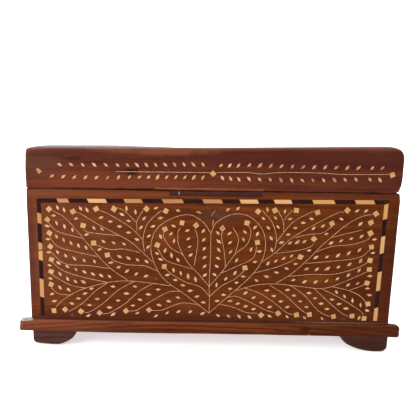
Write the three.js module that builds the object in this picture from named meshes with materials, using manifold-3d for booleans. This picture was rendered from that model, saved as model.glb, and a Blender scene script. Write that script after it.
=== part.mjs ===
// A bone inlay box: a sheesham box on base rails and four block feet, with a lift-off lid and a border
// of bone and ebony tiles let into the front board. Millimetres, +Z up, the front faces -Y, and the
// origin lies on the floor under the middle of the box.
import * as THREE from 'three';
import { mergeVertices } from 'three/addons/utils/BufferGeometryUtils.js';
import Module from 'manifold-3d';

const wasm = await Module();
wasm.setup();

// Body: four boards round a hollow, front and back over the full width
const BODY_WIDTH = 300;
const BODY_DEPTH = 200;
const BODY_HEIGHT = 110.3;
const BOARD_THICKNESS = 9.5;
const BODY_CORNER_LEFT = 1.25;
const BODY_CORNER_RIGHT = 2.5;

// Base: a board under the body between a front and a back rail. The rails stand out a little from the
// body's faces and run past its sides, where their ends are cut back behind
const BASE_THICKNESS = 10.5;
const RAIL_DEPTH = 8;
const RAIL_OVERHANG = 2.5;
const RAIL_END_OVERHANG = 9.5;
const RAIL_EDGE_TOP = 2.5;
const RAIL_EDGE_BOTTOM = 1.75;
const RAIL_END_TOP = 3;
const RAIL_END_BOTTOM = 2.5;
const RAIL_END_CUT = { along: 14, deep: 6 };

// Block feet: a flat underside, a small outer rounding and a long quarter curve on the inner side
const FOOT_HEIGHT = 14.2;
const FOOT_LENGTH = 36.5;
const FOOT_OUTER_RADIUS = 3;
const FOOT_FLAT_END = 18;
const FOOT_LIP = 2.25;

// Lid: a top board between a front and a back rail, on two end rails. It was cut out of true, so it is
// taller at its right end
const LID_HEIGHT_LEFT = 32.5;
const LID_HEIGHT_RIGHT = 36.25;
const LID_TOP_THICKNESS = 5.75;
const LID_EDGE_RADIUS = 4;
const LID_BOTTOM_LEFT = 1;
const LID_BOTTOM_RIGHT = 3;
const LID_WORN_LEFT = { across: 4, down: 3.25 };
const LID_WORN_RIGHT = { across: 15, down: 8.5 };

// Repairs let into the front: a strip under the lid's front rail and a strip in the body's top edge
const LID_PATCH = { left: -47, right: 41, height: 2.5 };
const BODY_PATCH = { left: -35.5, right: 40, height: 4.75 };
const PATCH_DEPTH = 4;

// Border of tiles: each strip's outer edge runs between two points of the front board, given from the
// middle of its lower edge. Slants are how far the inner end of a joint lies further along the strip.
const TILE_WIDTH = 3.4;
const TILE_THICKNESS = 1.5;
const STRIPS = [
  {
    name: 'top_border',
    from: new THREE.Vector2(-142.3, 102),
    to: new THREE.Vector2(141.3, 104.8),
    inward: new THREE.Vector2(0, -1),
    lengths: [
      16, 9, 15.5, 15, 14.5, 14.5, 16.5, 16.5, 16, 15.5, 14.5, 14.5, 13, 14, 17, 17.5, 16.5, 15.5, 12,
    ],
    kinds: 'ebebebebebebebebebe',
    slant: 1.6,
    startSlant: 0,
    endSlant: -TILE_WIDTH,
  },
  {
    name: 'left_border',
    from: new THREE.Vector2(-142.3, 98.5),
    to: new THREE.Vector2(-142.7, 2),
    inward: new THREE.Vector2(1, 0),
    lengths: [8, 8.5, 16, 6.5, 8.5, 16, 16, 17],
    kinds: 'ebebbebe',
    slant: 1.1,
    startSlant: 0,
    endSlant: 0,
  },
  {
    name: 'right_border',
    from: new THREE.Vector2(141.3, 104.6),
    to: new THREE.Vector2(141, 2.1),
    inward: new THREE.Vector2(-1, 0),
    lengths: [15, 14, 14.5, 15.5, 16.5, 15, 12],
    kinds: 'bebebeb',
    slant: 1.1,
    startSlant: TILE_WIDTH,
    endSlant: 0,
  },
];

// Gaps that the glue and the dark filler take up, and the fineness of round edges
const JOINT_GAP = 0.2;
const CUT_CLEARANCE = 1;
const CURVE_SEGMENTS = 6;

const LID_SLOPE = (LID_HEIGHT_RIGHT - LID_HEIGHT_LEFT) / BODY_WIDTH;
const LID_HEIGHT_MIDDLE = (LID_HEIGHT_LEFT + LID_HEIGHT_RIGHT) / 2;
const SIDE_LENGTH = BODY_DEPTH - 2 * BOARD_THICKNESS;

const FINISHES = {
  body: { color: 0x71391f, roughness: 0.5, metalness: 0 },
  lid: { color: 0x5f2d22, roughness: 0.45, metalness: 0 },
  base: { color: 0x7d4024, roughness: 0.5, metalness: 0 },
  feet: { color: 0x45291f, roughness: 0.7, metalness: 0 },
  palePatch: { color: 0x8a4a28, roughness: 0.5, metalness: 0 },
  darkPatch: { color: 0x3a211d, roughness: 0.5, metalness: 0 },
  bone: { color: 0xe3b070, roughness: 0.4, metalness: 0 },
  ebony: { color: 0x2b1c20, roughness: 0.45, metalness: 0 },
};

// Outlines

// A closed outline through corners that are cut back by their reach along each side and rounded off
function roundedOutline(corners) {
  const shape = new THREE.Shape();
  corners.forEach((corner, index) => {
    const before = corners[(index + corners.length - 1) % corners.length];
    const after = corners[(index + 1) % corners.length];
    const start = towards(corner, before, corner.reachIn);
    const end = towards(corner, after, corner.reachOut);
    if (index === 0) {
      shape.moveTo(start.x, start.y);
    } else {
      shape.lineTo(start.x, start.y);
    }
    if (corner.reachIn > 0) {
      shape.quadraticCurveTo(corner.at.x, corner.at.y, end.x, end.y);
    }
  });
  shape.closePath();
  return shape;
}

function towards(corner, other, reach) {
  const step = other.at.clone().sub(corner.at).setLength(reach);
  return corner.at.clone().add(step);
}

function corner(x, y, reachIn = 0, reachOut = reachIn) {
  return { at: new THREE.Vector2(x, y), reachIn, reachOut };
}

function rectangle(left, bottom, right, top) {
  return roundedOutline([
    corner(left, bottom),
    corner(right, bottom),
    corner(right, top),
    corner(left, top),
  ]);
}

// Solids

function extrude(shape, depth) {
  return new THREE.ExtrudeGeometry(shape, {
    depth,
    bevelEnabled: false,
    curveSegments: CURVE_SEGMENTS,
  });
}

// A front outline (x across, y up) that runs back from y = start to y = end
function extrudeBack(shape, start, end) {
  const turn = new THREE.Matrix4().makeBasis(
    new THREE.Vector3(1, 0, 0),
    new THREE.Vector3(0, 0, 1),
    new THREE.Vector3(0, -1, 0),
  );
  return extrude(shape, end - start).applyMatrix4(turn).translate(0, end, 0);
}

// A side outline (x back, y up) that runs across from x = start to x = end
function extrudeAcross(shape, start, end) {
  const turn = new THREE.Matrix4().makeBasis(
    new THREE.Vector3(0, 1, 0),
    new THREE.Vector3(0, 0, 1),
    new THREE.Vector3(1, 0, 0),
  );
  return extrude(shape, end - start).applyMatrix4(turn).translate(start, 0, 0);
}

function toSolid(geometry) {
  const plain = geometry.clone();
  plain.deleteAttribute('normal');
  plain.deleteAttribute('uv');
  const merged = mergeVertices(plain);
  return new wasm.Manifold(
    new wasm.Mesh({
      numProp: 3,
      vertProperties: new Float32Array(merged.attributes.position.array),
      triVerts: new Uint32Array(merged.index.array),
    }),
  );
}

function toGeometry(solid) {
  const mesh = solid.getMesh();
  const geometry = new THREE.BufferGeometry();
  geometry.setAttribute('position', new THREE.BufferAttribute(mesh.vertProperties, 3));
  geometry.setIndex(new THREE.BufferAttribute(mesh.triVerts, 1));
  geometry.computeVertexNormals();
  return geometry;
}

function piece(name, finish, geometry, x = 0, y = 0, z = 0) {
  const material = new THREE.MeshStandardMaterial({ ...FINISHES[finish], flatShading: true });
  const mesh = new THREE.Mesh(geometry, material);
  mesh.name = name;
  mesh.position.set(x, y, z);
  return mesh;
}

// Feet

function footOutline() {
  const shape = new THREE.Shape();
  shape.moveTo(0, FOOT_HEIGHT);
  shape.lineTo(0, FOOT_OUTER_RADIUS);
  shape.quadraticCurveTo(0, 0, FOOT_OUTER_RADIUS, 0);
  shape.lineTo(FOOT_FLAT_END, 0);
  const rise = FOOT_HEIGHT - FOOT_LIP;
  shape.absellipse(FOOT_FLAT_END, rise, FOOT_LENGTH - FOOT_FLAT_END, rise, -Math.PI / 2, 0, false);
  shape.lineTo(FOOT_LENGTH, FOOT_HEIGHT);
  shape.closePath();
  return shape;
}

function footGeometry() {
  const fromFront = toSolid(extrudeBack(footOutline(), 0, FOOT_LENGTH));
  const fromSide = toSolid(extrudeAcross(footOutline(), 0, FOOT_LENGTH));
  return toGeometry(fromFront.intersect(fromSide));
}

function buildFeet() {
  const feet = new THREE.Group();
  const places = [
    { name: 'foot_front_left', side: -1, end: -1, quarterTurns: 0 },
    { name: 'foot_front_right', side: 1, end: -1, quarterTurns: 1 },
    { name: 'foot_back_right', side: 1, end: 1, quarterTurns: 2 },
    { name: 'foot_back_left', side: -1, end: 1, quarterTurns: 3 },
  ];
  for (const { name, side, end, quarterTurns } of places) {
    const foot = piece(name, 'feet', footGeometry(), (side * BODY_WIDTH) / 2, (end * BODY_DEPTH) / 2);
    foot.rotation.z = (quarterTurns * Math.PI) / 2;
    feet.add(foot);
  }
  return feet;
}

// Base

function railGeometry() {
  const half = BODY_WIDTH / 2 + RAIL_END_OVERHANG;
  const face = -BODY_DEPTH / 2 - RAIL_OVERHANG;
  const rear = face + RAIL_DEPTH;
  const plan = roundedOutline([
    corner(-half, face),
    corner(half, face),
    corner(half, rear, RAIL_END_CUT.deep, RAIL_END_CUT.along),
    corner(-half, rear, RAIL_END_CUT.along, RAIL_END_CUT.deep),
  ]);
  const front = roundedOutline([
    corner(-half, 0, RAIL_END_BOTTOM),
    corner(half, 0, RAIL_END_BOTTOM),
    corner(half, BASE_THICKNESS, RAIL_END_TOP),
    corner(-half, BASE_THICKNESS, RAIL_END_TOP),
  ]);
  const side = roundedOutline([
    corner(face, 0, RAIL_EDGE_BOTTOM),
    corner(rear, 0),
    corner(rear, BASE_THICKNESS),
    corner(face, BASE_THICKNESS, RAIL_EDGE_TOP),
  ]);
  const fromAbove = toSolid(extrude(plan, BASE_THICKNESS));
  const fromFront = toSolid(extrudeBack(front, face, rear));
  const fromSide = toSolid(extrudeAcross(side, -half, half));
  return toGeometry(fromAbove.intersect(fromFront).intersect(fromSide));
}

function buildBase() {
  const base = new THREE.Group();
  base.position.z = FOOT_HEIGHT;
  const half = BODY_WIDTH / 2;
  const inside = BODY_DEPTH / 2 + RAIL_OVERHANG - RAIL_DEPTH - JOINT_GAP;
  const board = extrudeBack(rectangle(-half, 0, half, BASE_THICKNESS), -inside, inside);
  const backRail = piece('base_back_rail', 'base', railGeometry());
  backRail.rotation.z = Math.PI;
  base.add(piece('base_board', 'base', board));
  base.add(piece('base_front_rail', 'base', railGeometry()));
  base.add(backRail);
  return base;
}

// Border tiles

// The point of a strip's outer edge at a distance along it, and the inner end of a joint made there
function jointAt(strip, distance, slant) {
  const along = strip.to.clone().sub(strip.from).normalize();
  const outer = strip.from.clone().addScaledVector(along, distance);
  const inner = outer.clone().addScaledVector(strip.inward, TILE_WIDTH).addScaledVector(along, slant);
  return { outer, inner };
}

// The outline between two joints, in either winding, grown or shrunk by an allowance on every side
function stretchOutline(strip, start, end, allowance) {
  const along = strip.to.clone().sub(strip.from).normalize();
  const first = jointAt(strip, start.distance, start.slant);
  const last = jointAt(strip, end.distance, end.slant);
  const sides = [
    { point: first.outer, along: -1, inward: -1 },
    { point: last.outer, along: 1, inward: -1 },
    { point: last.inner, along: 1, inward: 1 },
    { point: first.inner, along: -1, inward: 1 },
  ];
  const points = sides.map((side) =>
    side.point
      .clone()
      .addScaledVector(along, side.along * allowance)
      .addScaledVector(strip.inward, side.inward * allowance),
  );
  return new THREE.Shape(points);
}

function stripLength(strip) {
  return strip.lengths.reduce((total, length) => total + length, 0);
}

function grooveSolid(strip) {
  const start = { distance: 0, slant: strip.startSlant };
  const end = { distance: stripLength(strip), slant: strip.endSlant };
  const outline = stretchOutline(strip, start, end, 0);
  return toSolid(extrudeBack(outline, -CUT_CLEARANCE, TILE_THICKNESS));
}

function buildTiles() {
  const tiles = new THREE.Group();
  for (const strip of STRIPS) {
    let distance = 0;
    strip.lengths.forEach((length, index) => {
      const isLast = index === strip.lengths.length - 1;
      const start = { distance, slant: index === 0 ? strip.startSlant : strip.slant };
      const end = { distance: distance + length, slant: isLast ? strip.endSlant : strip.slant };
      const outline = stretchOutline(strip, start, end, -JOINT_GAP / 2);
      const finish = strip.kinds[index] === 'b' ? 'bone' : 'ebony';
      const name = `${strip.name}_${index + 1}_${finish}`;
      tiles.add(piece(name, finish, extrudeBack(outline, 0, TILE_THICKNESS), 0, -BODY_DEPTH / 2));
      distance += length;
    });
  }
  return tiles;
}

// Repair strips

function patchGeometry(patch, low, high, inset) {
  const outline = rectangle(patch.left + inset, low, patch.right - inset, high);
  return extrudeBack(outline, inset > 0 ? 0 : -CUT_CLEARANCE, PATCH_DEPTH);
}

// Body

function frontGeometry() {
  const half = BODY_WIDTH / 2;
  const outline = roundedOutline([
    corner(-half, 0),
    corner(half, 0),
    corner(half, BODY_HEIGHT, BODY_CORNER_RIGHT),
    corner(-half, BODY_HEIGHT, BODY_CORNER_LEFT),
  ]);
  let board = toSolid(extrudeBack(outline, 0, BOARD_THICKNESS));
  for (const strip of STRIPS) {
    board = board.subtract(grooveSolid(strip));
  }
  const low = BODY_HEIGHT - BODY_PATCH.height;
  const recess = patchGeometry(BODY_PATCH, low, BODY_HEIGHT + CUT_CLEARANCE, 0);
  return toGeometry(board.subtract(toSolid(recess)));
}

function backGeometry() {
  const half = BODY_WIDTH / 2;
  const outline = roundedOutline([
    corner(-half, 0),
    corner(half, 0),
    corner(half, BODY_HEIGHT, BODY_CORNER_RIGHT),
    corner(-half, BODY_HEIGHT, BODY_CORNER_LEFT),
  ]);
  return extrudeBack(outline, -BOARD_THICKNESS, 0);
}

function sideGeometry() {
  const half = SIDE_LENGTH / 2;
  return extrudeAcross(rectangle(-half, 0, half, BODY_HEIGHT), 0, BOARD_THICKNESS);
}

function buildBody() {
  const body = new THREE.Group();
  body.position.z = FOOT_HEIGHT + BASE_THICKNESS;
  const patchLow = BODY_HEIGHT - BODY_PATCH.height + JOINT_GAP;
  const patch = patchGeometry(BODY_PATCH, patchLow, BODY_HEIGHT, JOINT_GAP);
  body.add(piece('front_board', 'body', frontGeometry(), 0, -BODY_DEPTH / 2));
  body.add(piece('back_board', 'body', backGeometry(), 0, BODY_DEPTH / 2));
  body.add(piece('left_board', 'body', sideGeometry(), -BODY_WIDTH / 2));
  body.add(piece('right_board', 'body', sideGeometry(), BODY_WIDTH / 2 - BOARD_THICKNESS));
  body.add(piece('body_repair_strip', 'darkPatch', patch, 0, -BODY_DEPTH / 2));
  body.add(buildTiles());
  return body;
}

// Lid

// Lifts every point by the slope of the lid's top
function tilt(geometry) {
  const rise = new THREE.Matrix4().set(1, 0, 0, 0, 0, 1, 0, 0, LID_SLOPE, 0, 1, 0, 0, 0, 0, 1);
  return geometry.applyMatrix4(rise);
}

// The lid's whole outer form: its worn front outline, cut by the rounded edges along front and back
function lidForm() {
  const half = BODY_WIDTH / 2;
  const front = roundedOutline([
    corner(-half, 0, LID_BOTTOM_LEFT),
    corner(half, 0, LID_BOTTOM_RIGHT),
    corner(half, LID_HEIGHT_RIGHT, LID_WORN_RIGHT.down, LID_WORN_RIGHT.across),
    corner(-half, LID_HEIGHT_LEFT, LID_WORN_LEFT.across, LID_WORN_LEFT.down),
  ]);
  const halfDepth = BODY_DEPTH / 2;
  const below = -LID_HEIGHT_MIDDLE;
  const side = roundedOutline([
    corner(-halfDepth, below),
    corner(halfDepth, below),
    corner(halfDepth, LID_HEIGHT_MIDDLE, LID_EDGE_RADIUS),
    corner(-halfDepth, LID_HEIGHT_MIDDLE, LID_EDGE_RADIUS),
  ]);
  const fromFront = toSolid(extrudeBack(front, -halfDepth, halfDepth));
  const fromSide = toSolid(tilt(extrudeAcross(side, -half, half)));
  return fromFront.intersect(fromSide);
}

// A block of the lid between two heights that follow the slope of its top
function slopingBlock(left, right, front, back, low, high) {
  return toSolid(tilt(extrudeAcross(rectangle(front, low, back, high), left, right)));
}

function buildLid() {
  const lid = new THREE.Group();
  lid.position.z = FOOT_HEIGHT + BASE_THICKNESS + BODY_HEIGHT;
  const form = lidForm();
  const half = BODY_WIDTH / 2;
  const halfDepth = BODY_DEPTH / 2;
  const insideX = half - BOARD_THICKNESS;
  const insideY = halfDepth - BOARD_THICKNESS;
  const under = LID_HEIGHT_MIDDLE - LID_TOP_THICKNESS;
  const below = -LID_HEIGHT_MIDDLE;
  const above = 2 * LID_HEIGHT_MIDDLE;
  const longRail = (front, back) => form.intersect(slopingBlock(-half, half, front, back, below, above));
  const endRail = (left, right) =>
    form.intersect(slopingBlock(left, right, -insideY, insideY, below, under - JOINT_GAP));

  const patchRecess = patchGeometry(LID_PATCH, -CUT_CLEARANCE, LID_PATCH.height, 0);
  patchRecess.translate(0, -halfDepth, 0);
  const frontRail = longRail(-halfDepth, -insideY).subtract(toSolid(patchRecess));
  const boardEdge = insideY - JOINT_GAP;
  const topBoard = form.intersect(slopingBlock(-half, half, -boardEdge, boardEdge, under, above));
  const patch = patchGeometry(LID_PATCH, 0, LID_PATCH.height - JOINT_GAP, JOINT_GAP);

  lid.add(piece('lid_top_board', 'lid', toGeometry(topBoard)));
  lid.add(piece('lid_front_rail', 'lid', toGeometry(frontRail)));
  lid.add(piece('lid_back_rail', 'lid', toGeometry(longRail(insideY, halfDepth))));
  lid.add(piece('lid_left_rail', 'lid', toGeometry(endRail(-half, -insideX))));
  lid.add(piece('lid_right_rail', 'lid', toGeometry(endRail(insideX, half))));
  lid.add(piece('lid_repair_strip', 'palePatch', patch, 0, -halfDepth));
  return lid;
}

const boneInlayBox = new THREE.Group();
boneInlayBox.add(buildFeet());
boneInlayBox.add(buildBase());
boneInlayBox.add(buildBody());
boneInlayBox.add(buildLid());

export default boneInlayBox;
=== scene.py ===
"""Bone inlay box: sheesham boards, a border of bone and ebony tiles, and a leafy vine of wire and bone.

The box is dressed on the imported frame, in metres, with +X along the front, +Y to the back and +Z up. Sizes
are written in millimetres and turned to metres where a mesh is made. Places of the inlay are pixels of the
square photograph, cast through the fitted camera onto the face that the inlay is let into.
"""

import logging
import math
import random
from dataclasses import dataclass, field
from enum import Enum
from functools import partial
from typing import Callable, ClassVar, Sequence

import bpy
from mathutils import Matrix, Vector, noise


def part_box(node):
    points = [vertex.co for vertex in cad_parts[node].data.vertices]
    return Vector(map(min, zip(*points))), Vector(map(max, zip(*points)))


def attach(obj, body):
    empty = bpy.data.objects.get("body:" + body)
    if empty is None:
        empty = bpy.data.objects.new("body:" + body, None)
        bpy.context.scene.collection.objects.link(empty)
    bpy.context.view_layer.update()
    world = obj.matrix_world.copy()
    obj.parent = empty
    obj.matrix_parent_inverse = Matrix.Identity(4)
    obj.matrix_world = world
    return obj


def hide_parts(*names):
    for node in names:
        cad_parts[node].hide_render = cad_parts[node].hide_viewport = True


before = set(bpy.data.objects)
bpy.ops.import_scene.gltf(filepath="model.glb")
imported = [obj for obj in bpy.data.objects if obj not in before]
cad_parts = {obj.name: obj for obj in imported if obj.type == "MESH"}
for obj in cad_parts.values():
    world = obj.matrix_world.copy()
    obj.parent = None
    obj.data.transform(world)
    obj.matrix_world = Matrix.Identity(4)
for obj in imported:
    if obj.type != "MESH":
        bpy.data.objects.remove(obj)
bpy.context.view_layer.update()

LOG = logging.getLogger("bone_inlay_box")
MM = 0.001
BODY = "root"
BUMP_STRENGTH = 0.5
# Lengths in millimetres that are rounded to this many digits are whole micrometres
MICRON_DIGITS = 3
# Grid lines in each rounded arris, and the largest share of a side that the rounding may take
ROUNDING_LINES = 3
WIDEST_ROUNDING = 0.45
# More lines towards a worn end start past those that its rounding has
FIRST_LINE = 3
# Faces that meet at more than this angle, in degrees, keep a crisp edge once a recess is cut
CRISP_ANGLE = 50.0
# The shade of wire, lac and dirt, whose finishes don't read it
PLAIN_TONE = 0.5

Pixel = tuple[float, float]
Point = tuple[float, float, float]
Tree = bpy.types.NodeTree
Socket = bpy.types.NodeSocket
Material = bpy.types.Material
Piece = bpy.types.Object


# Nodes and colours


def linear(code: str) -> tuple[float, float, float, float]:
    """Turns an sRGB hex colour to linear light.

    Args:
        code: A colour such as "#71391f".

    Returns:
        Red, green, blue and an alpha of one.
    """
    # The numbers are those of the sRGB curve
    channels = [int(code[start : start + 2], 16) / 255 for start in (1, 3, 5)]
    light = [c / 12.92 if c <= 0.04045 else ((c + 0.055) / 1.055) ** 2.4 for c in channels]
    return (light[0], light[1], light[2], 1.0)


def add_node(
    tree: Tree,
    kind: str,
    settings: dict[str | int, object] | None = None,
    links: dict[str | int, Socket] | None = None,
) -> bpy.types.Node:
    """Adds one node to a material, with its settings and links.

    Args:
        tree: The material's node tree.
        kind: Blender's name for the node type, without the ShaderNode that starts it.
        settings: Values by property name, or by input name or number where the node has no such property.
        links: Output sockets of earlier nodes by input name or number.

    Returns:
        The new node.
    """
    node = tree.nodes.new(f"ShaderNode{kind}")
    for name, value in (settings or {}).items():
        if isinstance(name, str) and name in node.bl_rna.properties:
            setattr(node, name, value)
        else:
            node.inputs[name].default_value = value
    for name, socket in (links or {}).items():
        tree.links.new(socket, node.inputs[name])
    return node


def new_material(name: str) -> Material:
    """Makes an empty node material.

    Args:
        name: Its name.

    Returns:
        The material.
    """
    material = bpy.data.materials.new(name)
    material.use_nodes = True
    material.node_tree.nodes.clear()
    return material


def drawn_out(tree: Tree, place: Socket, marks: Point, detail: float) -> bpy.types.Node:
    """Adds noise whose marks have a length, width and height of their own.

    Args:
        tree: The material's node tree.
        place: The place on the piece.
        marks: The size of a mark along X, Y and Z, in the unit of the place.
        detail: How many finer layers the noise has.

    Returns:
        The noise node.
    """
    scale = tuple(1 / size for size in marks)
    drawn = add_node(tree, "VectorMath", {"operation": "MULTIPLY", 1: scale}, {0: place})
    settings = {"Scale": 1.0, "Detail": detail}
    return add_node(tree, "TexNoise", settings, {"Vector": drawn.outputs[0]})


def close_surface(
    tree: Tree, colour: Socket, gloss: Socket, height: Socket, depth_mm: float, constants: dict[str, float]
) -> None:
    """Ends a material with its relief, shader and output.

    Args:
        tree: The material's node tree.
        colour: The base colour.
        gloss: The roughness.
        height: The relief, from 0 to 1.
        depth_mm: How deep the relief is.
        constants: Values that are the same all over the surface, by the shader's input name.
    """
    settings = {"Strength": BUMP_STRENGTH, "Distance": depth_mm * MM}
    bump = add_node(tree, "Bump", settings, {"Height": height})
    surface = {"Base Color": colour, "Roughness": gloss, "Normal": bump.outputs["Normal"]}
    shader = add_node(tree, "BsdfPrincipled", constants, surface)
    add_node(tree, "OutputMaterial", {}, {"Surface": shader.outputs["BSDF"]})


# Finishes


class GrainAxis(Enum):
    """Which way a board's grain runs, as the turn in degrees that lays it along the pattern's X."""

    ALONG_X = (0.0, 0.0, 0.0)
    ALONG_Y = (0.0, 0.0, -90.0)


class ToneSource(Enum):
    """Where a bone slip's own shade comes from: its mesh, or the piece as a whole."""

    MESH = "mesh"
    PIECE = "piece"


@dataclass(frozen=True)
class StainAndPaintedLight:
    """A soft-edged patch of another colour in a board, in millimetres.

    Attributes:
        middle: Where it is strongest.
        reach: How far it fades out to, along X, Y and Z.
        colour: Its sRGB hex colour. Some patches are real stains, dust and marks; others are painted light
            and shade.
        strength: How much of that colour shows in the middle, from 0 to 1.
        mottle: The size of the mottling that breaks it up.
        rough: How much the mottling breaks it up. Above 1.5 it is broken up into specks.
    """

    middle: Point
    reach: Point
    colour: str
    strength: float
    mottle: float = 5.0
    rough: float = 0.9

    MOTTLE_DETAIL = 3.0
    # The distance, in reaches and with the mottling added, at which the patch is gone and at which it is full
    GONE = 1.35
    FULL = 0.65

    def lay(self, tree: Tree, place: Socket, under: Socket) -> Socket:
        """Lays the patch over a colour.

        Args:
            tree: The material's node tree.
            place: The place on the board in metres.
            under: The colour below the patch.

        Returns:
            The colour with the patch in it.
        """
        middle = tuple(value * MM for value in self.middle)
        reach = tuple(value * MM for value in self.reach)
        offset = add_node(tree, "VectorMath", {"operation": "SUBTRACT", 1: middle}, {0: place})
        share = add_node(tree, "VectorMath", {"operation": "DIVIDE", 1: reach}, {0: offset.outputs[0]})
        away = add_node(tree, "VectorMath", {"operation": "LENGTH"}, {0: share.outputs[0]})
        mottle = drawn_out(tree, place, (self.mottle * MM,) * 3, self.MOTTLE_DETAIL)
        settings = {"operation": "MULTIPLY_ADD", 1: self.rough}
        links = {0: mottle.outputs["Fac"], 2: away.outputs["Value"]}
        ragged = add_node(tree, "Math", settings, links)
        settings = {
            "interpolation_type": "SMOOTHSTEP",
            "From Min": self.GONE,
            "From Max": self.FULL,
            "To Max": self.strength,
        }
        cover = add_node(tree, "MapRange", settings, {"Value": ragged.outputs[0]})
        links = {"Fac": cover.outputs[0], "Color1": under}
        return add_node(tree, "MixRGB", {"Color2": linear(self.colour)}, links).outputs["Color"]


@dataclass(frozen=True)
class Sheesham:
    """Sheesham, sawn, planed by hand and oiled.

    The eye sees a red-brown ground in paler and darker streaks, thin dark lines of late wood that sway along
    the grain, short dark pores, and a satin gloss that has gone dull where hands rub the arrises. The arrises
    are paler: partly worn by hands, partly a painted highlight on their rounding.
    """

    name: str
    ground: str
    pale: str
    late: str
    pore: str = "#2b130c"
    # The arrises' colour: rubbed wood, and partly a painted highlight on their rounding
    worn: str = "#9c6c4e"
    grain: GrainAxis = GrainAxis.ALONG_X
    pith: tuple[float, float] = (-40.0, 70.0)
    lean: tuple[float, float] = (0.0, 0.0)
    ring_mm: float = 6.0
    ring_strength: float = 0.5
    sway_mm: float = 7.0
    streak_mm: float = 5.0
    pore_strength: float = 0.5
    wear_and_highlight_strength: float = 0.35
    blotch_strength: float = 0.35
    arch_mm: float = 0.0
    roughness: float = 0.5
    specular: float = 0.04
    polish: float = 0.0
    stains_and_painted_light: tuple[StainAndPaintedLight, ...] = ()

    # A ring pattern of scale 1 repeats after this length
    WAVE_LENGTH = 2 * math.pi / 20
    # The lines arch over this distance to each side of the board's middle
    ARCH_SPAN = 150.0
    STREAK_LENGTH = 130.0
    SWAY_MARKS = (240.0, 55.0, 55.0)
    BLOTCH_MARKS = (48.0, 15.0, 15.0)
    # Pores are about 0.2 mm wide. They are drawn three times as coarse, so that they show at all
    PORE_MARKS = (9.0, 0.65, 0.65)
    SWAY_DETAIL = 2.0
    STREAK_DETAIL = 5.0
    BLOTCH_DETAIL = 3.0
    PORE_DETAIL = 1.0
    NOISE_MIDDLE = (0.5, 0.5, 0.5)
    # Marks of each kind start at the first value of their noise and are full at the second
    STREAK_SPAN = (0.38, 0.64)
    BLOTCH_SPAN = (0.42, 0.72)
    PORE_SPAN = (0.58, 0.72)
    # A higher power draws the late wood in thinner lines
    LATE_POWER = 3.0
    # How far the roughness goes below and above its usual value
    SMOOTHER = 0.08
    ROUGHER = 0.12
    POLISH_ROUGHNESS = 0.15
    RELIEF_MM = 0.15

    def rings(self, tree: Tree, place: Socket) -> Socket:
        """Adds the lines of late wood round the pith.

        Args:
            tree: The material's node tree.
            place: The place on the board in millimetres from the pith, with the grain along X.

        Returns:
            How much late wood there is, from 0 to 1.
        """
        slow = drawn_out(tree, place, self.SWAY_MARKS, self.SWAY_DETAIL)
        settings = {"operation": "SUBTRACT", 1: self.NOISE_MIDDLE}
        centred = add_node(tree, "VectorMath", settings, {0: slow.outputs["Color"]})
        settings = {"operation": "MULTIPLY_ADD", 1: (0.0, 2 * self.sway_mm, 2 * self.sway_mm)}
        swayed = add_node(tree, "VectorMath", settings, {0: centred.outputs[0], 2: place})
        squared = add_node(tree, "VectorMath", {"operation": "MULTIPLY"}, {0: place, 1: place})
        settings = {"operation": "DOT_PRODUCT", 1: (self.arch_mm / self.ARCH_SPAN**2, 0.0, 0.0)}
        lift = add_node(tree, "VectorMath", settings, {0: squared.outputs[0]})
        upward = add_node(tree, "CombineXYZ", {}, {"Z": lift.outputs["Value"]})
        links = {0: swayed.outputs[0], 1: upward.outputs[0]}
        bent = add_node(tree, "VectorMath", {"operation": "ADD"}, links)
        settings = {
            "wave_type": "RINGS",
            "rings_direction": "X",
            "Scale": self.WAVE_LENGTH / self.ring_mm,
            "Distortion": 1.6,
            "Detail": 2.0,
            "Detail Scale": 1.5,
        }
        wave = add_node(tree, "TexWave", settings, {"Vector": bent.outputs[0]})
        settings = {"operation": "POWER", 1: self.LATE_POWER}
        thin = add_node(tree, "Math", settings, {0: wave.outputs["Fac"]})
        settings = {"operation": "MULTIPLY", 1: self.ring_strength}
        return add_node(tree, "Math", settings, {0: thin.outputs[0]}).outputs[0]

    def material(self) -> Material:
        """Builds the material of one board.

        Returns:
            The material.
        """
        made = new_material(self.name)
        tree = made.node_tree
        where = add_node(tree, "TexCoord").outputs["Object"]
        turn = Vector(self.grain.value) + Vector((0.0, self.lean[0], self.lean[1]))
        settings = {
            "Scale": (1 / MM,) * 3,
            "Rotation": tuple(math.radians(angle) for angle in turn),
            "Location": (0.0, -self.pith[0], -self.pith[1]),
        }
        place = add_node(tree, "Mapping", settings, {"Vector": where}).outputs["Vector"]

        marks = (self.STREAK_LENGTH, self.streak_mm, self.streak_mm)
        streak = drawn_out(tree, place, marks, self.STREAK_DETAIL).outputs["Fac"]
        blotch = drawn_out(tree, place, self.BLOTCH_MARKS, self.BLOTCH_DETAIL).outputs["Fac"]
        pore = drawn_out(tree, place, self.PORE_MARKS, self.PORE_DETAIL).outputs["Fac"]
        shares = []
        for value, span, strength in (
            (streak, self.STREAK_SPAN, 1.0),
            (blotch, self.BLOTCH_SPAN, self.blotch_strength),
            (pore, self.PORE_SPAN, self.pore_strength),
        ):
            settings = {"From Min": span[0], "From Max": span[1], "To Max": strength}
            shares.append(add_node(tree, "MapRange", settings, {"Value": value}).outputs[0])
        streaked, clouded, pored = shares
        # The rounded arrises turn towards the worn colour: partly wear, partly a painted highlight
        arris = add_node(tree, "Attribute", {"attribute_name": "arris"}).outputs["Fac"]
        settings = {"operation": "MULTIPLY", 1: self.wear_and_highlight_strength, "use_clamp": True}
        rubbed = add_node(tree, "Math", settings, {0: arris}).outputs[0]

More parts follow.
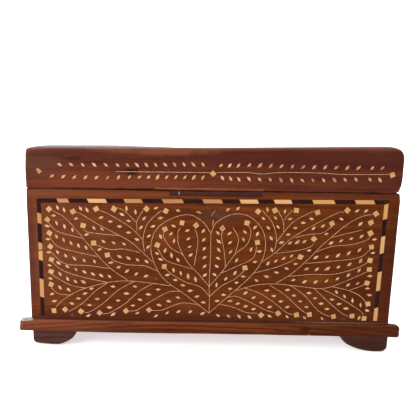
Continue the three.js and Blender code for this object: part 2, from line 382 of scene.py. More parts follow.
        colours = {"Color1": linear(self.ground), "Color2": linear(self.pale)}
        colour = add_node(tree, "MixRGB", colours, {"Fac": streaked}).outputs["Color"]
        for share, over in (
            (clouded, self.late),
            (self.rings(tree, place), self.late),
            (pored, self.pore),
            (rubbed, self.worn),
        ):
            links = {"Fac": share, "Color1": colour}
            colour = add_node(tree, "MixRGB", {"Color2": linear(over)}, links).outputs["Color"]
        # Real stains and patches of painted light and shade go over the wood
        for colour_patch in self.stains_and_painted_light:
            colour = colour_patch.lay(tree, where, colour)
        settings = {"To Min": self.roughness - self.SMOOTHER, "To Max": self.roughness + self.ROUGHER}
        gloss = add_node(tree, "MapRange", settings, {"Value": streak})
        relief = add_node(tree, "Math", {"operation": "SUBTRACT"}, {0: streak, 1: pored})
        constants = {
            "Specular IOR Level": self.specular,
            "Coat Weight": self.polish,
            "Coat Roughness": self.POLISH_ROUGHNESS,
        }
        close_surface(tree, colour, gloss.outputs[0], relief.outputs[0], self.RELIEF_MM, constants)
        return made


@dataclass(frozen=True)
class CamelBone:
    """Camel bone, sawn into slips, scraped flush and yellowed by oil and age.

    The eye sees a warm cream that differs from slip to slip, with fine darker canals along each slip and a
    low waxy gloss.
    """

    name: str
    brown: str
    yellow: str
    cream: str
    tone: ToneSource

    # Canals are about 0.1 mm wide. They are drawn three times as coarse, so that they show at all
    CANAL_MARKS = (3.0 * MM, 0.35 * MM, 0.35 * MM)
    CANAL_DETAIL = 2.0
    CANAL_SPAN = (0.5, 0.75)
    CANAL_STRENGTH = 0.45
    # A slip of this tone is yellow. Below it bone is browner, and above it creamier
    YELLOW_TONE = 0.4
    ROUGHNESS = (0.36, 0.52)
    IOR = 1.54
    SPECULAR = 0.35
    RELIEF_MM = 0.05

    def material(self) -> Material:
        """Builds the bone's material.

        Returns:
            The material.
        """
        made = new_material(self.name)
        tree = made.node_tree
        where = add_node(tree, "TexCoord").outputs["Object"]
        if self.tone is ToneSource.MESH:
            tone = add_node(tree, "Attribute", {"attribute_name": "tone"}).outputs["Fac"]
        else:
            tone = add_node(tree, "ObjectInfo").outputs["Random"]
        lower = add_node(tree, "MapRange", {"From Max": self.YELLOW_TONE}, {"Value": tone})
        upper = add_node(tree, "MapRange", {"From Min": self.YELLOW_TONE}, {"Value": tone})
        colours = {"Color1": linear(self.brown), "Color2": linear(self.yellow)}
        aged = add_node(tree, "MixRGB", colours, {"Fac": lower.outputs[0]})
        links = {"Fac": upper.outputs[0], "Color1": aged.outputs["Color"]}
        slip = add_node(tree, "MixRGB", {"Color2": linear(self.cream)}, links)
        canal = drawn_out(tree, where, self.CANAL_MARKS, self.CANAL_DETAIL).outputs["Fac"]
        start, end = self.CANAL_SPAN
        settings = {"From Min": start, "From Max": end, "To Max": self.CANAL_STRENGTH}
        lined = add_node(tree, "MapRange", settings, {"Value": canal})
        links = {"Fac": lined.outputs[0], "Color1": slip.outputs["Color"]}
        colour = add_node(tree, "MixRGB", {"Color2": linear(self.brown)}, links)
        settings = {"To Min": self.ROUGHNESS[0], "To Max": self.ROUGHNESS[1]}
        gloss = add_node(tree, "MapRange", settings, {"Value": canal})
        constants = {"IOR": self.IOR, "Specular IOR Level": self.SPECULAR}
        close_surface(tree, colour.outputs["Color"], gloss.outputs[0], canal, self.RELIEF_MM, constants)
        return made


@dataclass(frozen=True)
class FlushInlay:
    """Inlay of one colour with paler marks, rubbed flush. Each kind gives its own marks and gloss."""

    name: str
    ground: str
    pale: str
    roughness: float

    # The size of a mark in metres, and the values of its noise at which a mark starts and is full
    MARKS: ClassVar[Point]
    SPAN: ClassVar[tuple[float, float]]
    # What is added to the roughness between the marks and in them
    ROUGHER: ClassVar[tuple[float, float]]
    CONSTANTS: ClassVar[dict[str, float]]
    RELIEF_MM: ClassVar[float]
    DETAIL: ClassVar[float] = 3.0

    def material(self) -> Material:
        """Builds the inlay's material.

        Returns:
            The material.
        """
        made = new_material(self.name)
        tree = made.node_tree
        where = add_node(tree, "TexCoord").outputs["Object"]
        mark = drawn_out(tree, where, self.MARKS, self.DETAIL).outputs["Fac"]
        settings = {"From Min": self.SPAN[0], "From Max": self.SPAN[1]}
        share = add_node(tree, "MapRange", settings, {"Value": mark})
        colours = {"Color1": linear(self.ground), "Color2": linear(self.pale)}
        colour = add_node(tree, "MixRGB", colours, {"Fac": share.outputs[0]})
        settings = {"To Min": self.roughness + self.ROUGHER[0], "To Max": self.roughness + self.ROUGHER[1]}
        gloss = add_node(tree, "MapRange", settings, {"Value": mark})
        close_surface(tree, colour.outputs["Color"], gloss.outputs[0], mark, self.RELIEF_MM, self.CONSTANTS)
        return made


class DarkInlay(FlushInlay):
    """Ebony or black lac let into the wood and scraped flush with it.

    The eye sees a near-black brown with faint paler streaks and a dull gloss.
    """

    MARKS = (8.0 * MM, 0.9 * MM, 0.9 * MM)
    SPAN = (0.4, 0.75)
    ROUGHER = (-0.06, 0.1)
    CONSTANTS = {"Specular IOR Level": 0.03}
    RELIEF_MM = 0.05


class HammeredWire(FlushInlay):
    """Drawn brass wire, hammered into a saw kerf, rubbed flush and tarnished.

    The eye sees a thin pinkish-brown line with brighter and smoother spots where it is rubbed.
    """

    MARKS = (2.5 * MM,) * 3
    SPAN = (0.35, 0.7)
    ROUGHER = (0.0, -0.2)
    # The tarnish hides about half of the metal's own gloss
    CONSTANTS = {"Metallic": 0.5}
    RELIEF_MM = 0.04


# Camera and studio


@dataclass(frozen=True)
class PhotoCamera:
    """The camera of the photograph, fitted to the edges of the box.

    Lengths in the picture are pixels of its square frame, the place is in millimetres and turns are degrees.
    """

    frame_px: float = 416.0
    focal_px: float = 411.6
    middle_px: Pixel = (180.0, 208.0)
    place: Point = (-25.5, -428.3, 173.35)
    yaw: float = -0.168
    pitch: float = 9.121
    roll: float = 0.835
    sensor_mm: float = 36.0

    def axes(self) -> tuple[Vector, Vector, Vector]:
        """Works out which way the camera stands.

        Returns:
            Its right, up and forward directions.
        """
        yaw, pitch, roll = (math.radians(angle) for angle in (self.yaw, self.pitch, self.roll))
        ahead = Vector((math.sin(yaw), math.cos(yaw), 0.0))
        forward = ahead * math.cos(pitch) - Vector((0.0, 0.0, math.sin(pitch)))
        level = Vector((math.cos(yaw), -math.sin(yaw), 0.0))
        upright = level.cross(forward)
        right = level * math.cos(roll) + upright * math.sin(roll)
        up = upright * math.cos(roll) - level * math.sin(roll)
        return right, up, forward

    def cast(self, pixel: Pixel, face_y: float) -> Vector:
        """Finds what a pixel shows of an upright face that looks to the front.

        Args:
            pixel: The place in the photograph.
            face_y: Where the face stands, in millimetres.

        Returns:
            The point's distance across and up, in millimetres.
        """
        right, up, forward = self.axes()
        across = (pixel[0] - self.middle_px[0]) / self.focal_px
        down = (pixel[1] - self.middle_px[1]) / self.focal_px
        ray = forward + right * across - up * down
        reach = (face_y - self.place[1]) / ray.y
        return Vector((self.place[0] + ray.x * reach, self.place[2] + ray.z * reach))

    def build(self) -> None:
        """Adds the camera and makes it the scene's own."""
        data = bpy.data.cameras.new("photo_camera")
        data.sensor_width = self.sensor_mm
        data.lens = self.sensor_mm * self.focal_px / self.frame_px
        data.shift_x = (self.frame_px / 2 - self.middle_px[0]) / self.frame_px
        right, up, forward = self.axes()
        camera = bpy.data.objects.new("photo_camera", data)
        turn = Matrix((right, up, -forward)).transposed().to_4x4()
        camera.matrix_world = Matrix.Translation(Vector(self.place) * MM) @ turn
        bpy.context.scene.collection.objects.link(camera)
        bpy.context.scene.camera = camera


@dataclass(frozen=True)
class SoftBox:
    """A square soft light: its place, aim and size in metres, its power in watts and its colour."""

    name: str
    place: Point
    aim: Point
    size: float
    power: float
    colour: str

    def build(self) -> None:
        """Adds the light and turns it to its aim."""
        data = bpy.data.lights.new(self.name, "AREA")
        data.size = self.size
        data.energy = self.power
        data.color = linear(self.colour)[:3]
        light = bpy.data.objects.new(self.name, data)
        light.location = self.place
        light.rotation_euler = (Vector(self.aim) - Vector(self.place)).to_track_quat("-Z", "Y").to_euler()
        bpy.context.scene.collection.objects.link(light)


@dataclass
class Studio:
    """A white paper sweep under soft daylight from the left, in metres."""

    half_width: float = 3.0
    front: float = -2.5
    bend: float = 1.2
    bend_radius: float = 0.8
    height: float = 2.6
    bend_steps: int = 16
    paper: str = "#fbfbfb"
    paper_glow: float = 0.62
    sky: str = "#f4f6fb"
    sky_strength: float = 0.32
    lights: tuple[SoftBox, ...] = (
        SoftBox("window", (-0.95, -0.75, 0.7), (-0.1, -0.1, 0.08), size=0.8, power=13.0, colour="#f6f7ff"),
        SoftBox("overhead", (-0.2, 0.3, 1.7), (0.0, 0.0, 0.1), size=1.4, power=20.0, colour="#f4f6ff"),
        SoftBox("backdrop", (0.0, 0.9, 1.5), (0.0, 2.0, 0.5), size=1.2, power=36.0, colour="#ccdaff"),
    )

    def sweep(self) -> Piece:
        """Makes the paper sweep: a floor that bends up into a back wall.

        Returns:
            The sweep.
        """
        profile = [(self.front, 0.0)]
        for step in range(self.bend_steps + 1):
            angle = math.pi / 2 * step / self.bend_steps
            run = self.bend + self.bend_radius * math.sin(angle)
            rise = self.bend_radius * (1 - math.cos(angle))
            profile.append((run, rise))
        profile.append((self.bend + self.bend_radius, self.height))
        points = [Vector((side, y, z)) for y, z in profile for side in (-self.half_width, self.half_width)]
        faces = [(2 * k, 2 * k + 1, 2 * k + 3, 2 * k + 2) for k in range(len(profile) - 1)]
        sweep = add_mesh("paper_sweep", points, faces)
        sweep.data.shade_smooth()
        return sweep

    def paper_material(self) -> Material:
        """Builds the material of matt white paper.

        Returns:
            The material.
        """
        made = new_material("matt_white_paper")
        tree = made.node_tree
        shader = add_node(
            tree,
            "BsdfPrincipled",
            {
                "Base Color": linear(self.paper),
                "Roughness": 0.9,
                "Specular IOR Level": 0.1,
                "Emission Color": linear(self.paper),
                "Emission Strength": self.paper_glow,
            },
        )
        add_node(tree, "OutputMaterial", {}, {"Surface": shader.outputs["BSDF"]})
        return made

    def build(self) -> None:
        """Adds the sweep, the sky and the lights, and sets plain colours for the picture."""
        sweep = self.sweep()
        sweep.data.materials.append(self.paper_material())
        world = bpy.data.worlds.new("soft_sky")
        world.use_nodes = True
        background = world.node_tree.nodes["Background"]
        background.inputs["Color"].default_value = linear(self.sky)
        background.inputs["Strength"].default_value = self.sky_strength
        bpy.context.scene.world = world
        for light in self.lights:
            light.build()
        bpy.context.scene.view_settings.view_transform = "Standard"


# Meshes


def add_mesh(name: str, points: Sequence[Vector], faces: Sequence[tuple[int, ...]]) -> Piece:
    """Adds a mesh to the scene.

    Args:
        name: The name of the mesh and of its object.
        points: Its points in metres.
        faces: The numbers of each face's points.

    Returns:
        Its object.
    """
    mesh = bpy.data.meshes.new(name)
    mesh.from_pydata(points, [], faces)
    piece = bpy.data.objects.new(name, mesh)
    bpy.context.scene.collection.objects.link(piece)
    return piece


def tube_faces(first: int, count: int, rings: int) -> list[tuple[int, ...]]:
    """Lists the faces of a closed tube from ring to ring.

    Args:
        first: The number of its first point.
        count: How many points a ring has.
        rings: How many rings there are.

    Returns:
        The two ends and then the sides. They face out where the rings run anticlockwise, seen from the first
        end.
    """
    last = first + count * (rings - 1)
    faces = [tuple(range(first, first + count)), tuple(reversed(range(last, last + count)))]
    for start in range(first, last, count):
        for k in range(count):
            after = (k + 1) % count
            faces.append((start + after, start + k, start + count + k, start + count + after))
    return faces


def settle(piece: Piece, slot: str, *nodes: str) -> Piece:
    """Puts a new piece on the box.

    Args:
        piece: The piece, in place.
        slot: The record's finish that it stands for. It is not used.
        nodes: The solids that it stands for.

    Returns:
        The same piece.
    """
    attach(piece, BODY)
    if nodes:
        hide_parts(*nodes)
    return piece


def dress(node: str, material: Material) -> Piece:
    """Gives a solid of the frame that stays in view its finish.

    Args:
        node: The solid's name.
        material: Its finish.

    Returns:
        The solid's object.
    """
    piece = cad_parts[node]
    piece.material_slots[0].material = material
    return piece


def box_mm(node: str) -> tuple[Vector, Vector]:
    """Returns a solid's lowest and highest corners in millimetres."""
    low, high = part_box(node)
    return low / MM, high / MM


def held(share: float) -> float:
    """Returns a share that is held between 0 and 1."""
    return min(1.0, max(0.0, share))


def worn_end(share: float) -> float:
    """Returns how much of its full wear a rounded end has, from 1 at its tip to 0 at a share of 1."""
    return (1 - math.sqrt(held(share))) ** 2


def lines_between(low: float, high: float, reach: float, cell: float) -> list[float]:
    """Spaces grid lines along a side, close together near its two ends.

    Args:
        low: Where the side starts.
        high: Where it ends.
        reach: How far the rounding comes in from each end.
        cell: The usual spacing between.

    Returns:
        The places of the lines.
    """
    reach = min(reach, WIDEST_ROUNDING * (high - low))
    inner = high - low - 2 * reach
    count = max(1, round(inner / cell))
    start = [low + reach * step / ROUNDING_LINES for step in range(ROUNDING_LINES)]
    middle = [low + reach + inner * step / count for step in range(count + 1)]
    end = [high - reach * step / ROUNDING_LINES for step in reversed(range(ROUNDING_LINES))]
    return start + middle + end


@dataclass
class WornBlock:
    """A planed block whose arrises are worn round unevenly, in millimetres.

    Attributes:
        low: Its lowest corner.
        high: Its highest corner.
        edge: The usual radius of its arrises.
        cell: The usual spacing of its grid.
        seed: Sets its wear apart from that of other blocks.
        edge_at: Gives the radius at a point, where it isn't the same all round.
        shape: Moves each point once the arrises are round.
        lines_x: More grid lines along X.
        upper: The finish of what faces up, where it isn't the finish of the rest.
    """

    low: Vector
    high: Vector
    edge: float = 0.7
    cell: float = 4.0
    seed: int = 0
    edge_at: Callable[[Vector], float] | None = None
    shape: Callable[[Vector], Vector] | None = None
    lines_x: tuple[float, ...] = ()
    upper: Material | None = None

    # The radius swells and shrinks over this length, by up to this share
    SLOW_WEAR = 28.0
    SLOW_SHARE = 0.35
    # A nick is about this long. It starts where its noise passes this value, and deepens with the radius
    NICK = 7.0
    NICK_START = 0.35
    NICK_SHARE = 0.9
    NICK_RADIUS = 1.0
    # The largest radius, as a share of the block's thinnest side
    WIDEST = 0.49
    SEED_STEP = 37.7
    FACES_UP = 0.7

    def radius(self, point: Vector) -> float:
        """Works out how round the arris is near a point.

        Args:
            point: A point of the square block.

        Returns:
            The radius there.
        """
        usual = self.edge_at(point) if self.edge_at else self.edge
        offset = Vector((self.seed * self.SEED_STEP,) * 3)
        slow = noise.noise(point / self.SLOW_WEAR + offset)
        nick = max(0.0, noise.noise(point / self.NICK - offset) - self.NICK_START)
        deep = self.NICK_SHARE * min(usual, self.NICK_RADIUS) * nick
        return usual * (1.0 + self.SLOW_SHARE * slow) + deep

    def wear(self, point: Vector) -> tuple[Vector, float]:
        """Rounds the arris near a point.

        Args:
            point: A point of the square block.

        Returns:
            The worn point, and how far it lies into the rounding, from 0 to 1.
        """
        radius = min(self.radius(point), self.WIDEST * min(self.high - self.low))
        core = Vector(
            min(max(value, low + radius), high - radius)
            for value, low, high in zip(point, self.low, self.high)
        )
        out = point - core
        second = sorted(abs(value) for value in out)[1]
        return core + out.normalized() * radius, second / radius

    def build(self, name: str, material: Material) -> Piece:
        """Makes the block.

        Args:
            name: The piece's name.
            material: Its finish.

        Returns:
            The new piece, with its rubbed arrises marked in its mesh.
        """
        lines = [lines_between(self.low[axis], self.high[axis], self.edge, self.cell) for axis in range(3)]
        lines[0] = sorted(lines[0] + list(self.lines_x))
        numbers: dict[tuple[int, int, int], int] = {}
        points: list[Vector] = []
        rubbed: list[float] = []
        faces: list[tuple[int, ...]] = []

        def number(key: tuple[int, int, int]) -> int:
            """Finds a grid point, which is made when first asked for.

            Args:
                key: The numbers of its lines along X, Y and Z.

            Returns:
                The point's number.
            """
            if key not in numbers:
                worn, share = self.wear(Vector(lines[axis][key[axis]] for axis in range(3)))
                numbers[key] = len(points)
                points.append((self.shape(worn) if self.shape else worn) * MM)
                rubbed.append(share)
            return numbers[key]

        for axis in range(3):
            second, third = (axis + 1) % 3, (axis + 2) % 3
            for at, step in ((0, -1), (len(lines[axis]) - 1, 1)):
                for j in range(len(lines[second]) - 1):
                    for k in range(len(lines[third]) - 1):
                        corners = [(j, k), (j + 1, k), (j + 1, k + 1), (j, k + 1)][::step]
                        keys = []
                        for across, up in corners:
                            key = [0, 0, 0]
                            key[axis], key[second], key[third] = at, across, up
                            keys.append(tuple(key))
                        faces.append(tuple(number(key) for key in keys))
        piece = add_mesh(name, points, faces)
        mesh = piece.data
        mesh.attributes.new("arris", "FLOAT", "POINT").data.foreach_set("value", rubbed)
        mesh.shade_smooth()
        mesh.materials.append(material)
        if self.upper:
            mesh.materials.append(self.upper)
            for polygon in mesh.polygons:
                polygon.material_index = int(polygon.normal.z > self.FACES_UP)
        return piece


def hull(points: Sequence[Vector]) -> list[Vector]:
    """Finds the outline round flat points, anticlockwise.

    Args:
        points: The points.

    Returns:
        The corners of the outline.
    """
    ordered = sorted({(round(p.x, MICRON_DIGITS), round(p.y, MICRON_DIGITS)) for p in points})

    def chain(places: Sequence[tuple[float, float]]) -> list[Vector]:
        """Finds one side of the outline.

        Args:
            places: The points from one end to the other.

        Returns:
            The side's corners without the last one.
        """
        side: list[Vector] = []
        for place in places:
            point = Vector(place)
            while len(side) > 1 and (side[-1] - side[-2]).cross(point - side[-1]) <= 0:
                side.pop()
            side.append(point)
        return side[:-1]

    return chain(ordered) + chain(ordered[::-1])


def grown(outline: Sequence[Vector], gap: float) -> list[Vector]:
    """Moves every side of an anticlockwise outline out.

    Args:
        outline: Its corners.
        gap: How far the sides move.

    Returns:
        The corners of the wider outline.
    """
    wider = []
    for index, corner in enumerate(outline):
        before = (corner - outline[index - 1]).normalized()
        after = (outline[(index + 1) % len(outline)] - corner).normalized()
        first = Vector((before.y, -before.x))
        second = Vector((after.y, -after.x))
        wider.append(corner + (first + second) * gap / (1 + first.dot(second)))
    return wider


def rectangle(left: float, right: float, bottom: float, top: float) -> list[Vector]:
    """Returns the corners of an upright rectangle, anticlockwise."""
    return [Vector(corner) for corner in ((left, bottom), (right, bottom), (right, top), (left, top))]


def cut(piece: Piece, outlines: Sequence[Sequence[Vector]], front: float, back: float) -> None:
    """Cuts recesses into a board's front.

    Args:
        piece: The board.
        outlines: The recesses' outlines across and up, in millimetres.
        front: Where the cutters start, in millimetres along Y.
        back: Where they end.
    """
    points: list[Vector] = []
    faces: list[tuple[int, ...]] = []
    for outline in outlines:
        faces += tube_faces(len(points), len(outline), 2)
        for y in (front, back):
            points += [Vector((corner.x, y, corner.y)) * MM for corner in outline]
    cutter = add_mesh("recess", points, faces)
    modifier = piece.modifiers.new("recess", "BOOLEAN")
    modifier.object = cutter
    modifier.solver = "EXACT"
    modifier.use_self = True
    result = bpy.data.meshes.new_from_object(piece.evaluated_get(bpy.context.evaluated_depsgraph_get()))
    piece.modifiers.clear()
    piece.data = result
    result.set_sharp_from_angle(angle=math.radians(CRISP_ANGLE))
    bpy.data.objects.remove(cutter)


# Feet, base and body


@dataclass(frozen=True)
class FootCurve:
    """A foot's profile, in millimetres: its toe's rise and rounding, and where its inner curve starts."""

    toe_rise: float
    toe_radius: float
    curve_start: float

    # A circle's power is 2. The curve is flatter, with a sharper turn at its ends
    POWER = 1.7

    def toe(self, along: float) -> float:
        """Gives the worn outer part of the profile.

        Args:
            along: The distance from the foot's outer face.

        Returns:
            How high the underside is there.
        """
        slope = self.toe_rise * (1 - held(along / self.curve_start))
        return slope + self.toe_radius * worn_end(along / self.toe_radius)

    def curve(self, along: float, length: float, height: float) -> float:
        """Gives the curved inner part of the profile.

        Args:
            along: The distance from the foot's outer face.
            length: The foot's length.
            height: How far the curve rises.

        Returns:
            How high the underside is there.
        """
        share = held((along - self.curve_start) / (length - self.curve_start))
        return height * (1 - (1 - share**self.POWER) ** (1 / self.POWER))


@dataclass
class FootSet:
    """Four block feet: eased outside and cut in a long quarter curve inside, in millimetres."""

    left: FootCurve = FootCurve(toe_rise=1.3, toe_radius=3.8, curve_start=15.5)
    left_depth: FootCurve = FootCurve(toe_rise=0.7, toe_radius=1.6, curve_start=18.5)
    right: FootCurve = FootCurve(toe_rise=0.0, toe_radius=6.5, curve_start=9.5)
    right_depth: FootCurve = FootCurve(toe_rise=0.0, toe_radius=0.8, curve_start=18.5)
    right_reach: float = 0.3
    right_inward: float = 2.0
    right_stand: float = 2.4
    lip: float = 2.25
    edge: float = 0.9
    cell: float = 1.3
    finish: Sheesham = Sheesham(
        "dull_sheesham_feet",
        ground="#4b2d26",
        pale="#603c33",
        late="#301a15",
        worn="#764633",
        pith=(-120.0, -25.0),
        ring_mm=5.0,
        wear_and_highlight_strength=0.5,
        roughness=0.66,
        # Painted shade: the right feet darker, as the light falls from the left
        stains_and_painted_light=(StainAndPaintedLight((145, 0, 6), (60, 300, 40), "#3a1c0a", 0.6, 10),),
    )

    def foot(self, end: str, seed: int, material: Material) -> Piece:
        """Makes one foot.

        Args:
            end: The corner of the box that it stands under, such as "front_left".
            seed: Sets its wear apart.
            material: Its finish.

        Returns:
            The new piece.
        """
        low, high = box_mm(f"foot_{end}")
        side = -1 if "left" in end else 1
        face = -1 if "front" in end else 1
        across, depth = (self.left, self.left_depth) if side < 0 else (self.right, self.right_depth)
        if side > 0:
            high.x += self.right_reach
            low.x -= self.right_inward
            (low if face < 0 else high).y += face * self.right_stand
        outside = Vector((low.x if side < 0 else high.x, low.y if face < 0 else high.y, 0.0))
        size = high - low
        top = size.z - self.lip

        def shape(point: Vector) -> Vector:
            """Lifts a point of the block to the foot's profile.

            Args:
                point: A point of the worn block.

            Returns:
                Its place on the foot.
            """
            inward = side * (outside.x - point.x)
            back = face * (outside.y - point.y)
            toe = across.toe(inward) + depth.toe(back)
            rise = max(toe, across.curve(inward, size.x, top), depth.curve(back, size.y, top))
            return Vector((point.x, point.y, rise + (point.z - low.z) * (1 - rise / size.z)))

        block = WornBlock(low, high, self.edge, self.cell, seed, shape=shape)
        return settle(block.build(f"worn_foot_{end}", material), "feet_wood", f"foot_{end}")

    def build(self) -> list[Piece]:
        """Makes the four feet.

        Returns:
            The new pieces.
        """
        material = self.finish.material()
        ends = ("front_left", "front_right", "back_left", "back_right")
        return [self.foot(end, seed, material) for seed, end in enumerate(ends)]


@dataclass
class Base:
    """The base: a board under the body between two rails, whose ends are cut back behind, in millimetres."""

    top_radius: float = 2.4
    bottom_radius: float = 1.7
    inner_radius: float = 0.3
    cut_along: float = 14.0
    cut_deep: float = 6.0
    cut_lines: int = 8
    cell: float = 3.0
    left_reach: float = 0.8
    drop_left: float = 0.1
    drop_right: float = 1.35
    belly: float = 0.75
    belly_at: float = -75.0
    belly_reach: float = 55.0
    end_radius: float = 3.8
    # Up to this X the rail's end is rounder; its faces that look up more than the slope take the polished
    # end's finish, whose pale colour is a painted highlight
    polished_highlight_until: float = -149.0
    polished_highlight_slope: float = 0.45
    polished_highlight_index: int = 2
    rails: Sheesham = Sheesham(
        "oiled_sheesham_rail",
        ground="#622b10",
        pale="#803e18",
        late="#35140a",
        worn="#9a5a30",
        pith=(-92.0, -12.0),
        ring_mm=4.0,
        ring_strength=0.8,
        sway_mm=6.0,
        streak_mm=2.0,
        wear_and_highlight_strength=0.5,
        arch_mm=10.0,
        roughness=0.46,
        stains_and_painted_light=(
            # Painted light and shade: the left end paler with a painted reflection haze, the right end darker
            # as the light falls from the left, and the lower half darker where its rounding turns from the
            # light
            StainAndPaintedLight((-140, -102, 20), (110, 30, 30), "#8a5240", 0.22, 30),
            StainAndPaintedLight((140, -102, 18), (130, 30, 30), "#3d1605", 0.7, 30),
            StainAndPaintedLight((0, -103, 13.5), (400, 12, 4.5), "#3b190e", 0.6, 20),
            StainAndPaintedLight((79, -102.5, 19.4), (9, 8, 3), "#2c1008", 0.7, 4),
            StainAndPaintedLight((83.6, -102.5, 14), (2, 6, 1.2), "#b98f68", 0.8, 2),
        ),
    )
    # The rail's top: darker than its front as painted shade where it meets the body, with real dust on the
    # right
    rail_tops_painted_shade: Sheesham = Sheesham(
        "sheesham_rail_top_painted_shade",
        ground="#4f2b1c",
        pale="#603724",
        late="#381a10",
        pith=(-92.0, -12.0),
        wear_and_highlight_strength=0.2,
        specular=0.08,
        stains_and_painted_light=(StainAndPaintedLight((105, -103, 27), (75, 12, 6), "#8f705c", 0.55, 3, 1.2),),
    )
    # The left end's top: real polish and gloss, with a pale greyish colour that is a painted highlight
    polished_painted_highlight: Sheesham = Sheesham(
        "polished_sheesham_rail_end_painted_highlight",
        ground="#85695d",
        pale="#977c70",
        late="#5f4234",
        pith=(-92.0, -12.0),
        wear_and_highlight_strength=0.2,
        roughness=0.28,
        specular=1.0,
        polish=1.0,
    )
    board: Sheesham = Sheesham(
        "oiled_sheesham_base_board",
        ground="#643019",
        pale="#773d20",
        late="#45200f",
        pith=(40.0, -40.0),
    )

    def rail(self, node: str, seed: int, finishes: Sequence[Material]) -> Piece:
        """Makes one rail.

        Args:
            node: The rail's name in the frame.
            seed: Sets its wear apart.
            finishes: The finish of its sides, of its top (painted shade) and of its left end's top (painted
                highlight).

        Returns:
            The new piece.
        """
        low, high = box_mm(node)
        middle = (low + high) / 2
        face = low.y if middle.y < 0 else high.y

        def edge_at(point: Vector) -> float:
            """Chooses the radius of the upper, the lower or the hidden inner edge.

            Args:
                point: A point of the square block.

            Returns:
                The radius there.
            """
            if abs(point.y - face) > abs(middle.y - face) and abs(point.x) < high.x - self.cut_along:
                return self.inner_radius
            if point.z < middle.z:
                return self.bottom_radius
            return self.end_radius if point.x < self.polished_highlight_until else self.top_radius

        def shape(point: Vector) -> Vector:
            """Cuts the ends back behind, lets the rail sag to the right and bellies it below at the left.

            Args:
                point: A point of the worn block.

            Returns:
                Its place on the rail.
            """
            deep = self.cut_deep * worn_end((high.x - abs(point.x)) / self.cut_along)
            kept = 1 - deep / (high.y - low.y)
            reach = self.left_reach * max(0.0, point.x / low.x)
            share = (point.x - low.x) / (high.x - low.x)
            drop = self.drop_left + (self.drop_right - self.drop_left) * share
            bulge = math.exp(-(((point.x - self.belly_at) / self.belly_reach) ** 2))
            drop += self.belly * bulge * (high.z - point.z) / (high.z - low.z)
            return Vector((point.x - reach, face + (point.y - face) * kept, point.z - drop))

        sides, tops, polished_painted_highlight = finishes
        steps = [self.cut_along * (k / self.cut_lines) ** 2 for k in range(FIRST_LINE, self.cut_lines + 1)]
        lines = tuple(side * (high.x - step) for step in steps for side in (-1, 1))
        block = WornBlock(low, high, self.top_radius, self.cell, seed, edge_at, shape, lines, tops)
        piece = block.build(f"worn_{node}", sides)
        piece.data.materials.append(polished_painted_highlight)
        for polygon in piece.data.polygons:
            if polygon.normal.z > self.polished_highlight_slope and polygon.center.x < self.polished_highlight_until * MM:
                polygon.material_index = self.polished_highlight_index
        return piece

    def build(self) -> list[Piece]:
        """Makes the rails and the board.

        Returns:
            The new pieces.
        """
        sides, tops, polished_painted_highlight = (finish.material() for finish in (self.rails, self.rail_tops_painted_shade, self.polished_painted_highlight))
        block = WornBlock(*box_mm("base_board"), self.inner_radius, seed=13)
        # Hands polish the front rail's left end, but not the back rail's; its pale colour there is a painted
        # highlight
        made = {
            "base_front_rail": self.rail("base_front_rail", seed=11, finishes=(sides, tops, polished_painted_highlight)),
            "base_back_rail": self.rail("base_back_rail", seed=12, finishes=(sides, tops, tops)),
            "base_board": block.build("worn_base_board", self.board.material()),
        }
        return [settle(piece, "base_wood", node) for node, piece in made.items()]


